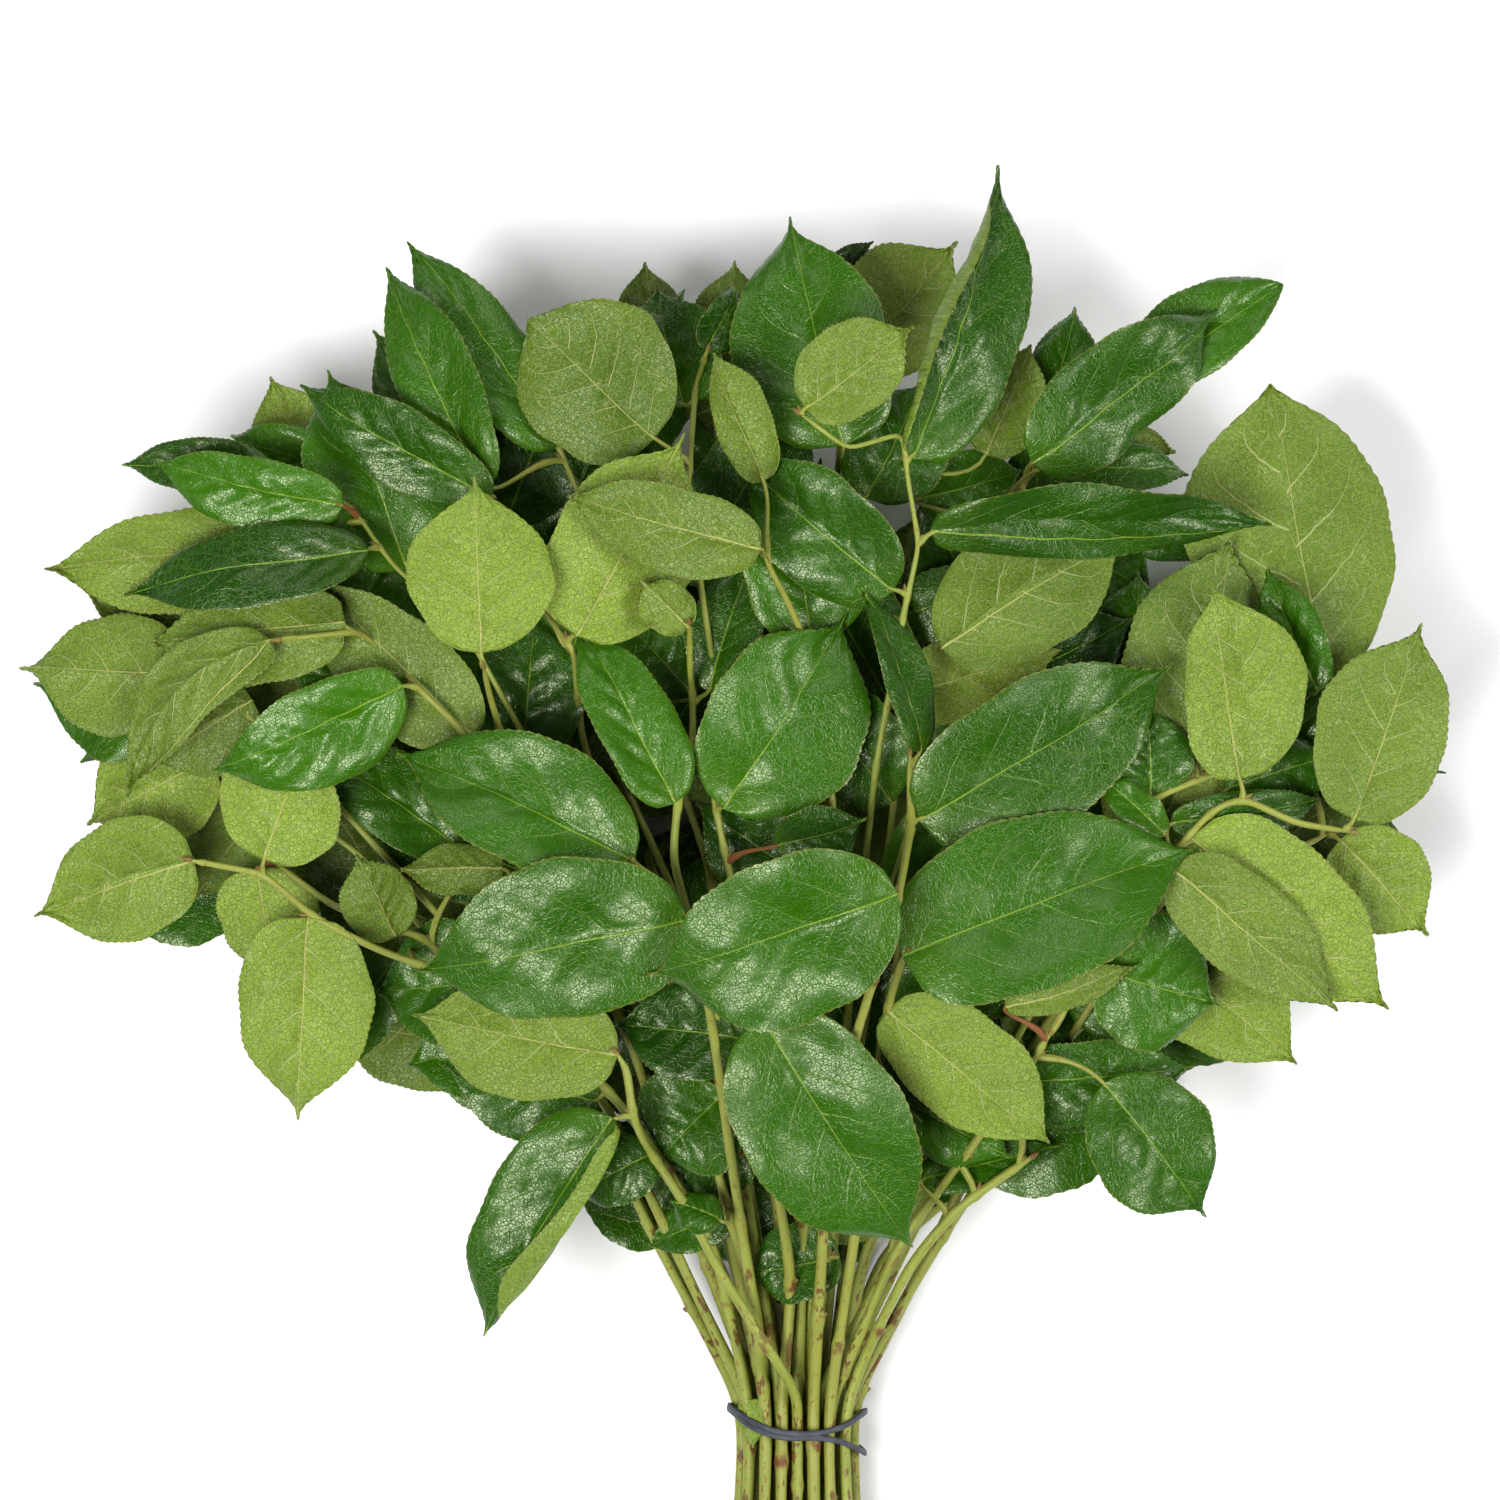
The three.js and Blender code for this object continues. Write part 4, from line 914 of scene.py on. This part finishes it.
def band_shell(side, sizes):
    """One turn of the band: a rounded strip carried round the ellipse of the tie.

    The path is (R cos a, lean, H + F R sin a). The turns lie together at the left, where they climb up the
    stems by 9 |cos a|^2.2, and part at the right by 6.5 |cos a|^2.5 each; the strip's section is a
    superellipse |x|^4 + |y|^4 = 1, wide along the stems.
    """
    radius = TIE_HALF_WIDTH + STEM_RADIUS + BAND_CLEARANCE + BAND_THICKNESS / 2
    flatten = (TIE_HEIGHT - BAND_THICKNESS / 2) / (radius * 1.01)
    turn = np.linspace(0, 2 * np.pi, BAND_RINGS + 1)[:-1]
    out = np.stack([np.cos(turn), np.zeros_like(turn), np.sin(turn)], axis=1)
    leftwards, rightwards = np.maximum(0, -np.cos(turn)), np.maximum(0, np.cos(turn))
    lean = BAND_CLIMB * leftwards**2.2 + side * BAND_PARTING * rightwards**2.5
    lean = lean + side * BAND_APART - 1.3 + 0.3 * np.sin(3 * turn + side)
    hug = 1 + 0.006 * np.sin(9 * turn + side)
    height = TIE_HEIGHT + flatten * radius * hug * np.sin(turn)
    centre = np.stack([radius * hug * np.cos(turn), lean, height], axis=1)
    around = 2 * np.pi * np.arange(BAND_SIDES) / BAND_SIDES
    wide = np.sign(np.cos(around)) * np.abs(np.cos(around)) ** 0.5 * sizes.width / 2
    thick = np.sign(np.sin(around)) * np.abs(np.sin(around)) ** 0.5 * sizes.thickness / 2
    level = np.array([0.0, 1, 0])
    body = centre[:, None] + wide[None, :, None] * level + thick[None, :, None] * out[:, None]
    grid = np.arange(BAND_RINGS * BAND_SIDES).reshape(BAND_RINGS, BAND_SIDES)
    grid = np.vstack([grid, grid[:1]])
    grid = np.hstack([grid, grid[:, :1]])
    place = np.broadcast_arrays(radius * turn[:, None], wide[None, :], side + 0.0)
    place = np.stack(place, axis=-1).reshape(-1, 3)
    faces = quads(grid)[:, ::-1]
    share = np.zeros((len(place), 3))
    return Shell(body.reshape(-1, 3), faces, np.zeros(len(faces), int), place, share)


# Finishes -----------------------------------------------------------------------------------------


class Wire:
    """One output of a finish's nodes. Arithmetic on it adds Math nodes, which would turn a colour grey."""

    def __init__(self, finish, socket):
        self.finish = finish
        self.socket = socket

    def math(self, operation, *others):
        return self.finish.node("ShaderNodeMath", {"operation": operation}, dict(enumerate((self, *others))))

    def __add__(self, other):
        return self.math("ADD", other)

    def __radd__(self, other):
        return self.math("ADD", other)

    def __sub__(self, other):
        return self.math("SUBTRACT", other)

    def __rsub__(self, other):
        return self.finish.node("ShaderNodeMath", {"operation": "SUBTRACT"}, {0: other, 1: self})

    def __mul__(self, other):
        return self.math("MULTIPLY", other)

    def __rmul__(self, other):
        return self.math("MULTIPLY", other)

    def __truediv__(self, other):
        return self.math("DIVIDE", other)

    def __pow__(self, other):
        return self.math("POWER", other)

    def __abs__(self):
        return self.math("ABSOLUTE")

    def ramp(self, low, high, start=0.0, end=1.0):
        """An S-curve from start at low to end at high."""
        return self.finish.node(
            "ShaderNodeMapRange",
            {"interpolation_type": "SMOOTHSTEP"},
            {"Value": self, "From Min": low, "From Max": high, "To Min": start, "To Max": end},
        )


class Finish:
    """One material: its Principled shader, with numbers that are the same all over set on its sockets."""

    def __init__(self, name, **fixed):
        self.material = bpy.data.materials.new(name)
        self.material.use_nodes = True
        self.tree = self.material.node_tree
        self.shader = self.tree.nodes["Principled BSDF"]
        for socket, value in fixed.items():
            self.shader.inputs[socket.replace("_", " ")].default_value = value

    def node(self, kind, settings=None, inputs=None, output=0):
        """Adds a node: first its settings, then the values or links of its sockets. Gives its output."""
        node = self.tree.nodes.new(kind)
        for setting, value in (settings or {}).items():
            setattr(node, setting, value)
        for socket, value in (inputs or {}).items():
            if isinstance(value, Wire):
                self.tree.links.new(value.socket, node.inputs[socket])
            else:
                node.inputs[socket].default_value = value
        return Wire(self, node.outputs[output])

    def attribute(self, name):
        """The three numbers kept at each vertex, as a vector."""
        return self.node("ShaderNodeAttribute", {"attribute_name": name}, output="Vector")

    def parts(self, vector):
        """A vector's three numbers."""
        first = self.node("ShaderNodeSeparateXYZ", None, {0: vector})
        outputs = first.socket.node.outputs
        return [Wire(self, outputs[k]) for k in range(3)]

    def vector(self, x, y, z):
        return self.node("ShaderNodeCombineXYZ", None, {0: x, 1: y, 2: z})

    def moved(self, vector, other):
        return self.node("ShaderNodeVectorMath", {"operation": "ADD"}, {0: vector, 1: other})

    def noise(self, place, scale, detail=2.0, roughness=0.5, output="Factor"):
        output = 0 if output == "Factor" else 1
        sizes = {"Vector": place, "Scale": scale, "Detail": detail, "Roughness": roughness}
        return self.node("ShaderNodeTexNoise", None, sizes, output)

    def shaken(self, place, scale, amount):
        """The place moved about by noise, by up to about amount metres."""
        cloud = self.noise(place, scale, 2.0, 0.5, "Color")
        centred = self.node("ShaderNodeVectorMath", {"operation": "SUBTRACT"}, {0: cloud, 1: (0.5, 0.5, 0.5)})
        sizes = {0: centred, "Scale": amount}
        return self.moved(place, self.node("ShaderNodeVectorMath", {"operation": "SCALE"}, sizes))

    def cracks(self, place, scale, width):
        """1 on the edges between Voronoi cells and 0 inside them."""
        inputs = {"Vector": place, "Scale": scale}
        distance = self.node("ShaderNodeTexVoronoi", {"feature": "DISTANCE_TO_EDGE"}, inputs)
        return distance.ramp(0, width, 1.0, 0.0)

    def mix(self, share, first, second):
        """A colour share of the way from first to second; both are colours or wires."""
        inputs = {0: share, 6: first, 7: second}
        return self.node("ShaderNodeMix", {"data_type": "RGBA", "clamp_factor": True}, inputs, 2)

    def bump(self, height, distance, strength=1.0):
        inputs = {"Height": height, "Distance": distance, "Strength": strength}
        return self.node("ShaderNodeBump", None, inputs)

    def wear(self, **varying):
        """Feeds the shader's sockets that vary over the surface."""
        for socket, wire in varying.items():
            self.tree.links.new(wire.socket, self.shader.inputs[socket.replace("_", " ")])
        return self.material


def colour(red, green, blue):
    """A colour given as screen values from 0 to 255, in the linear scale that the shader takes."""
    shares = [part / 255 for part in (red, green, blue)]
    return (*[s / 12.92 if s <= 0.04045 else ((s + 0.055) / 1.055) ** 2.4 for s in shares], 1.0)


def leaf_lines(finish):
    """The lines of a leaf, each 1 on the line: midrib, side veins, wide net, fine net; and the place."""
    across, along, phase = finish.parts(finish.attribute("grown_share"))
    place = finish.attribute("grown_place")
    x, y, hue = finish.parts(place)
    shaken = finish.shaken(place, 160, 0.0018)
    reach = abs(across)
    stray = finish.noise(place, 90, 2.0) - 0.5
    counted = phase + stray * 0.22
    distance = 0.5 - abs(counted.math("FRACT") - 0.5)
    side = (distance / (1.3 - reach)).ramp(0.004, 0.034, 1.0, 0.0) * reach.ramp(0.74, 0.98, 1.0, 0.0)
    middle = (abs(x) / (1.25 - along)).ramp(0.0001, 0.00042, 1.0, 0.0)
    net = finish.cracks(shaken, 265, 0.05)
    fine = finish.cracks(shaken, 900, 0.11)
    return SimpleNamespace(
        place=place, x=x, y=y, hue=hue, along=along, reach=reach, side=side, middle=middle, net=net, fine=fine
    )


def glossy_leaf(settings):
    """The upper side: deep green, mottled, with thin pale veins and a waxy gloss broken by the fine net."""
    finish = Finish("leaf_glossy", IOR=1.45, Specular_Tint=(0.93, 1, 0.7, 1))
    lines = leaf_lines(finish)
    broad = finish.noise(lines.place, 26, 3.0)
    small = finish.noise(lines.place, 320, 3.0, 0.6)
    tone = (lines.hue * 0.8 + broad * 0.5 - 0.2) + (small - 0.5) * 0.3
    green = finish.mix(tone, settings.deep_green, settings.fresh_green)
    green = finish.mix(lines.along.ramp(0.0, 0.25, 0.22, 0.0), green, settings.vein_green)
    seen = finish.noise(lines.place, 75, 2.0).ramp(0.42, 0.68)
    green = finish.mix(lines.net * (0.08 + seen * 0.28), green, settings.vein_green)
    green = finish.mix(lines.fine * seen * 0.12, green, settings.vein_green)
    green = finish.mix(lines.side * 0.5, green, settings.vein_green)
    green = finish.mix(lines.middle * 0.75, green, settings.midrib)
    green = finish.mix(lines.reach.ramp(0.965, 1.0, 0.0, 0.55), green, settings.edge)
    rough = 0.18 + broad * 0.1 + lines.net * 0.08 + (small - 0.5) * 0.07
    crease = finish.noise(finish.vector(lines.x, lines.y * 0.45, lines.hue), 420, 2.0, 0.5)
    dip = lines.net * 0.3 + lines.fine * 0.3 + lines.side * 0.6 + lines.middle * 0.5
    grain = small * 0.18 + crease * 0.3 - dip
    return finish.wear(Base_Color=green, Roughness=rough, Normal=finish.bump(grain, 0.0002, 0.8))


def pale_leaf(settings):
    """The lower side: matt yellow green, finely stippled, with raised light veins."""
    finish = Finish("leaf_pale", IOR=1.4)
    lines = leaf_lines(finish)
    broad = finish.noise(lines.place, 30, 3.0)
    small = finish.noise(lines.place, 700, 3.0, 0.65)
    tone = (lines.hue * 0.85 + broad * 0.7 - 0.25) + (small - 0.5) * 0.5
    green = finish.mix(tone, settings.pale_shade, settings.pale_green)
    pebbles = finish.cracks(lines.place, 430, 0.14)
    green = finish.mix(pebbles * 0.34, green, settings.stipple)
    green = finish.mix(lines.fine * 0.46, green, settings.stipple)
    green = finish.mix(small.ramp(0.58, 0.72, 0.0, 0.3), green, settings.stipple)
    green = finish.mix(lines.net * 0.3, green, settings.pale_vein)
    green = finish.mix(lines.side * 0.75, green, settings.pale_vein)
    green = finish.mix(lines.middle * 0.85, green, settings.pale_midrib)
    green = finish.mix(lines.reach.ramp(0.965, 1.0, 0.0, 0.45), green, settings.edge)
    rough = 0.38 + (small - 0.5) * 0.2 + lines.hue * 0.12
    raised = lines.net * 0.35 + lines.side * 0.9 + lines.middle * 0.6 - lines.fine * 0.3
    raised = raised - pebbles * 0.3 + small * 0.3
    return finish.wear(Base_Color=green, Roughness=rough, Normal=finish.bump(raised, 0.0004, 0.8))


def stem_bark(settings):
    """Green stem skin: streaked, browner below, reddish at nodes and some lower ends, pale where cut."""
    finish = Finish("stem_skin", IOR=1.42)
    age, node, cut = finish.parts(finish.attribute("grown_share"))
    along, around, seed = finish.parts(finish.attribute("grown_place"))
    streak = finish.noise(finish.vector(along * 0.12, around, seed), 900, 3.0, 0.6)
    blotch = finish.noise(finish.vector(along * 0.55, around * 1.3, seed), 130, 3.0, 0.7)
    patch = finish.noise(finish.vector(along * 0.7, around * 1.6, seed), 95, 4.0, 0.6)
    speck = finish.noise(finish.vector(along * 0.8, around, seed), 620, 2.0, 0.5)
    tone = patch * 0.8 + (streak - 0.5) * 0.6 - 0.1
    green = finish.mix(tone, settings.stem_shade, settings.stem_green)
    own = finish.noise(finish.vector(seed * 3.7, seed * 1.9, seed), 1.0, 1.0)
    green = finish.mix(own.ramp(0.35, 0.62) * 0.7, green, settings.stem_old)
    ruddy = finish.noise(finish.vector(seed * 5.3, seed * 2.7, seed * 3.1), 1.0, 1.0).ramp(0.6, 0.64)
    green = finish.mix(ruddy * along.ramp(0.05, 0.08, 0.85, 0.0), green, settings.ruddy)
    green = finish.mix(blotch.ramp(0.585, 0.64) * age.ramp(0.25, 0.8) * 0.85, green, settings.bark)
    green = finish.mix(speck.ramp(0.61, 0.68) * (0.3 + age * 0.5), green, settings.rust)
    green = finish.mix(node.ramp(0.3, 0.9) * patch.ramp(0.5, 0.62), green, settings.node_brown)
    green = finish.mix(cut, green, settings.cut_wood)
    rough = 0.46 + streak * 0.16 + node * 0.1 + cut * 0.2
    raised = streak * 0.5 + speck.ramp(0.62, 0.72) * 0.6 + blotch.ramp(0.6, 0.7)
    return finish.wear(Base_Color=green, Roughness=rough, Normal=finish.bump(raised, 0.0003, 0.8))


def bud_scale(settings):
    """Buds and old leaf scars: reddish brown scales with green between them."""
    finish = Finish("bud_scale", IOR=1.4)
    along, around, seed = finish.parts(finish.attribute("grown_place"))
    patch = finish.noise(finish.vector(along, around, seed), 500, 3.0, 0.6)
    tint = finish.noise(finish.vector(seed, seed, seed), 3.1, 1.0)
    brown = finish.mix(patch * 0.7 + tint - 0.4, settings.node_brown, settings.bud_green)
    rings = finish.noise(finish.vector(along, 0.0, seed), 1600, 1.0)
    rough = 0.5 + patch * 0.25
    return finish.wear(Base_Color=brown, Roughness=rough, Normal=finish.bump(rings + patch, 0.0002, 0.7))


def band_rubber(settings):
    """Dark slate rubber with fine lines along the strip and a dusty bloom."""
    finish = Finish("band_rubber", IOR=1.5)
    along, across, seed = finish.parts(finish.attribute("grown_place"))
    lines = finish.noise(finish.vector(along * 0.05, across, seed), 2600, 2.0, 0.5)
    dust = finish.noise(finish.vector(along, across, seed), 240, 3.0, 0.6)
    slate = finish.mix(dust.ramp(0.4, 0.75), settings.slate, settings.slate_bloom)
    slate = finish.mix(lines.ramp(0.35, 0.6, 0.35, 0.0), slate, settings.slate_shade)
    rough = 0.5 + dust * 0.2
    return finish.wear(Base_Color=slate, Roughness=rough, Normal=finish.bump(lines, 0.0001, 0.6))


# Settings -----------------------------------------------------------------------------------------


def length(name, description, default):
    return FloatProperty(
        name=name, description=description, default=default * MILLIMETRE, unit="LENGTH", min=0
    )


def tint(name, description, *screen):
    return FloatVectorProperty(
        name=name, description=description, default=colour(*screen), subtype="COLOR", size=4, min=0, max=1
    )


class SalalLeafSettings(bpy.types.PropertyGroup):
    """Sizes and colours of the leaves."""

    thickness: length("Thickness", "Thickness of a blade", 0.45)
    tooth: length("Tooth", "How far the teeth of the edge stand out", 0.4)
    roll: length("Rolled edge", "How far the edge rolls to the pale side", 0.9)
    pucker: length("Pucker", "Height of the humps between side veins", 2.2)
    ripple: length("Ripple", "Height of the small unevenness of a blade", 0.1)
    swell: length("Swell", "Height of the broad unevenness of a blade", 1.9)
    groove: length("Midrib groove", "Depth of the midrib's groove on the glossy side", 0.25)
    rib: length("Midrib", "Height of the midrib on the pale side", 0.75)
    stations: IntProperty(name="Stations", description="Rows of faces along a blade", default=52, min=8)
    deep_green: tint("Deep green", "Darkest green of the glossy side", 14, 50, 0)
    fresh_green: tint("Fresh green", "Lightest green of the glossy side", 48, 96, 0)
    vein_green: tint("Vein green", "Veins of the glossy side", 76, 110, 24)
    midrib: tint("Midrib green", "Midrib of the glossy side", 112, 140, 34)
    edge: tint("Edge", "Thin edge of a blade", 104, 104, 40)
    pale_green: tint("Pale green", "Lightest green of the pale side", 128, 151, 45)
    pale_shade: tint("Pale shade", "Darkest green of the pale side", 72, 96, 12)
    stipple: tint("Stipple", "Fine dark net of the pale side", 50, 76, 6)
    pale_vein: tint("Pale vein", "Veins of the pale side", 158, 166, 104)
    pale_midrib: tint("Pale midrib", "Midrib of the pale side", 160, 164, 92)


class SalalStemSettings(bpy.types.PropertyGroup):
    """Sizes and colours of the stems."""

    step: length("Ring step", "Distance between the rings of a stem", 2.6)
    wobble: length("Wobble", "How far a stem strays from its smooth line", 0.5)
    bend_low: length("Lower bend", "Rounding of a stem's bends at the tie", 9)
    bend_high: length("Upper bend", "Rounding of a stem's bends on the shoot", 3)
    node: FloatProperty(name="Node", description="Swelling at a node as a share of the radius", default=0.32)
    sides: IntProperty(name="Sides", description="Faces round a stem", default=10, min=5)
    stem_green: tint("Stem green", "Sunlit green of a stem", 160, 168, 78)
    stem_shade: tint("Stem shade", "Deeper green of a stem", 104, 116, 30)
    stem_old: tint("Old stem", "Lower end of a stem", 130, 130, 54)
    bark: tint("Bark", "Brown patches of a stem", 84, 42, 14)
    rust: tint("Rust", "Small rusty specks of a stem", 122, 86, 34)
    ruddy: tint("Ruddy end", "Reddish lower end of some stems", 112, 50, 24)
    node_brown: tint("Node", "Reddish brown of nodes and buds", 98, 56, 24)
    bud_green: tint("Bud green", "Green of the buds", 118, 118, 50)
    cut_wood: tint("Cut wood", "Wood at the cut end", 176, 172, 118)


class SalalBandSettings(bpy.types.PropertyGroup):
    """Sizes and colours of the rubber band."""

    width: length("Width", "Width of the strip", 2.1)
    thickness: length("Thickness", "Thickness of the strip", 1.3)
    slate: tint("Slate", "Colour of the rubber", 44, 49, 58)
    slate_bloom: tint("Bloom", "Dusty bloom on the rubber", 66, 71, 80)
    slate_shade: tint("Shade", "Lines along the rubber", 24, 27, 32)


class SalalStageSettings(bpy.types.PropertyGroup):
    """The view and the light."""

    view_height: length("Camera height", "Height of the camera over the surface", 4000)
    view_width: length("View width", "Width that the camera sees at the leaves", 525)
    view_middle_x: FloatProperty(
        name="Middle X", description="Middle of the view", default=0.0051, unit="LENGTH"
    )
    view_middle_y: FloatProperty(
        name="Middle Y", description="Middle of the view", default=0.0614, unit="LENGTH"
    )
    floor_grey: tint("Floor", "Colour of the floor", 247, 247, 247)


# Making -------------------------------------------------------------------------------------------


def sizes_of(settings):
    """The settings as plain values, with lengths in the layout's millimetres."""
    sizes = SimpleNamespace()
    for name, rule in settings.bl_rna.properties.items():
        value = getattr(settings, name)
        if isinstance(value, float) and rule.unit == "LENGTH":
            value = value / MILLIMETRE
        setattr(sizes, name, tuple(value) if rule.type == "FLOAT" and rule.is_array else value)
    return sizes


def finish_named(name, make, settings):
    """The finish of that name, made when it is first asked for."""
    return bpy.data.materials.get(name) or make(settings)


class SALAL_OT_leaves(bpy.types.Operator):
    """Adds the leaves of each tip over its solid."""

    bl_idname = "salal.leaves"
    bl_label = "Leaves"

    def execute(self, context):
        settings = context.scene.salal_leaves
        sizes = sizes_of(settings)
        finishes = [
            finish_named("leaf_glossy", glossy_leaf, settings),
            finish_named("leaf_pale", pale_leaf, settings),
        ]
        number = 0
        for tip in laid_out_tips():
            shells = []
            for k, leaf in enumerate(tip.leaves + tip.fill):
                grown = leaf_character(number, leaf)
                for trait, value in LEAF_TRAITS.get((tip.name, k), {}).items():
                    setattr(grown, trait, value)
                sizes.stations = settings.stations if k < len(tip.leaves) else settings.stations // 2
                shells.append(leaf_mesh(leaf, grown, sizes))
                number += 1
            piece = make_piece("leaves_" + tip.name, shells, finishes)
            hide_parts("tip_" + tip.name)
        caught = leaf_of("L", *CAUGHT_LEAF)
        grown = leaf_character(number, caught)
        for trait, value in CAUGHT_TRAITS.items():
            setattr(grown, trait, value)
        sizes.swell, sizes.roll = CAUGHT_SWELL, CAUGHT_ROLL
        piece = make_piece("leaf_caught_in_band", [leaf_mesh(caught, grown, sizes)], finishes)
        return {"FINISHED"}


class SALAL_OT_stems(bpy.types.Operator):
    """Adds the stem of each tip, with its petioles, nodes and buds."""

    bl_idname = "salal.stems"
    bl_label = "Stems"

    def execute(self, context):
        settings = context.scene.salal_stems
        sizes = sizes_of(settings)
        finishes = [
            finish_named("stem_skin", stem_bark, settings),
            finish_named("bud_scale", bud_scale, settings),
        ]
        for index, tip in enumerate(laid_out_tips()):
            piece = make_piece("stem_" + tip.name, stem_shells(tip, index, sizes), finishes)
            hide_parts("tip_" + tip.name)
        return {"FINISHED"}


class SALAL_OT_band(bpy.types.Operator):
    """Adds the two turns of the rubber band."""

    bl_idname = "salal.band"
    bl_label = "Rubber band"

    def execute(self, context):
        settings = context.scene.salal_band
        sizes = sizes_of(settings)
        finishes = [finish_named("band_rubber", band_rubber, settings)]
        piece = make_piece("band_turns", [band_shell(side, sizes) for side in (-1, 1)], finishes)
        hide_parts("rubber_band")
        return {"FINISHED"}


def add_softbox(name, place, target, size, power):
    """A square lamp at place, turned to target."""
    lamp = bpy.data.lights.new(name, "AREA")
    lamp.size = size
    lamp.energy = power
    holder = bpy.data.objects.new(name, lamp)
    holder.location = place
    holder.rotation_euler = (Vector(target) - Vector(place)).to_track_quat("-Z", "Y").to_euler()
    bpy.context.scene.collection.objects.link(holder)


class SALAL_OT_stage(bpy.types.Operator):
    """Adds the pale floor, the soft studio light and the camera that looks straight down."""

    bl_idname = "salal.stage"
    bl_label = "Stage"

    def execute(self, context):
        settings = context.scene.salal_stage
        floor_mesh = bpy.data.meshes.new("floor")
        far = FLOOR_REACH
        corners = [(-far, -far, 0), (far, -far, 0), (far, far, 0), (-far, far, 0)]
        floor_mesh.from_pydata(corners, [], [(0, 1, 2, 3)])
        floor = bpy.data.objects.new("floor", floor_mesh)
        context.scene.collection.objects.link(floor)
        finish = Finish("floor_paper", Roughness=0.85)
        finish.shader.inputs["Specular IOR Level"].default_value = 0.1
        place = finish.node("ShaderNodeTexCoord", output="Object")
        cloud = finish.noise(place, 3.0, 2.0)
        darker = tuple(0.985 * part for part in settings.floor_grey[:3]) + (1.0,)
        paper = finish.mix(cloud, tuple(settings.floor_grey), darker)
        floor_mesh.materials.append(finish.wear(Base_Color=paper))

        world = bpy.data.worlds.new("studio")
        world.use_nodes = True
        world.node_tree.nodes["Background"].inputs["Color"].default_value = (1.0, 1.0, 1.0, 1.0)
        world.node_tree.nodes["Background"].inputs["Strength"].default_value = WORLD_STRENGTH
        context.scene.world = world
        middle = (settings.view_middle_x, settings.view_middle_y, LAMP_TARGET_HEIGHT)
        for name, place, size, power in LAMPS:
            add_softbox(name, place, middle, size, power)

        camera = bpy.data.cameras.new("camera")
        height = settings.view_height
        camera.sensor_width = SENSOR_WIDTH
        camera.lens = camera.sensor_width * (height - LEAVES_HEIGHT) / settings.view_width
        camera.clip_start = 0.1
        camera.clip_end = 100
        holder = bpy.data.objects.new("camera", camera)
        holder.location = (middle[0], middle[1], height)
        context.scene.collection.objects.link(holder)
        context.scene.camera = holder
        context.scene.view_settings.view_transform = "Standard"
        return {"FINISHED"}


class SALAL_PT_bunch(bpy.types.Panel):
    """The bunch's pieces in the 3D view's sidebar."""

    bl_label = "Salal bunch"
    bl_idname = "SALAL_PT_bunch"
    bl_space_type = "VIEW_3D"
    bl_region_type = "UI"
    bl_category = "Salal"

    def draw(self, context):
        for operator, settings in PARTS:
            box = self.layout.box()
            box.operator(operator.bl_idname)
            group = getattr(context.scene, settings)
            for name in group.bl_rna.properties.keys():
                if name not in ("rna_type", "name"):
                    box.prop(group, name)


PARTS = (
    (SALAL_OT_leaves, "salal_leaves"),
    (SALAL_OT_stems, "salal_stems"),
    (SALAL_OT_band, "salal_band"),
    (SALAL_OT_stage, "salal_stage"),
)
GROUPS = {
    "salal_leaves": SalalLeafSettings,
    "salal_stems": SalalStemSettings,
    "salal_band": SalalBandSettings,
    "salal_stage": SalalStageSettings,
}
CLASSES = (*GROUPS.values(), *(operator for operator, _ in PARTS), SALAL_PT_bunch)


def register():
    for kind in CLASSES:
        bpy.utils.register_class(kind)
    for name, group in GROUPS.items():
        setattr(bpy.types.Scene, name, PointerProperty(type=group))


def unregister():
    for name in GROUPS:
        delattr(bpy.types.Scene, name)
    for kind in reversed(CLASSES):
        bpy.utils.unregister_class(kind)


def main():
    """Makes every piece and the stage."""
    register()
    bpy.ops.salal.leaves()
    bpy.ops.salal.stems()
    bpy.ops.salal.band()
    bpy.ops.salal.stage()


if __name__ == "__main__":
    main()
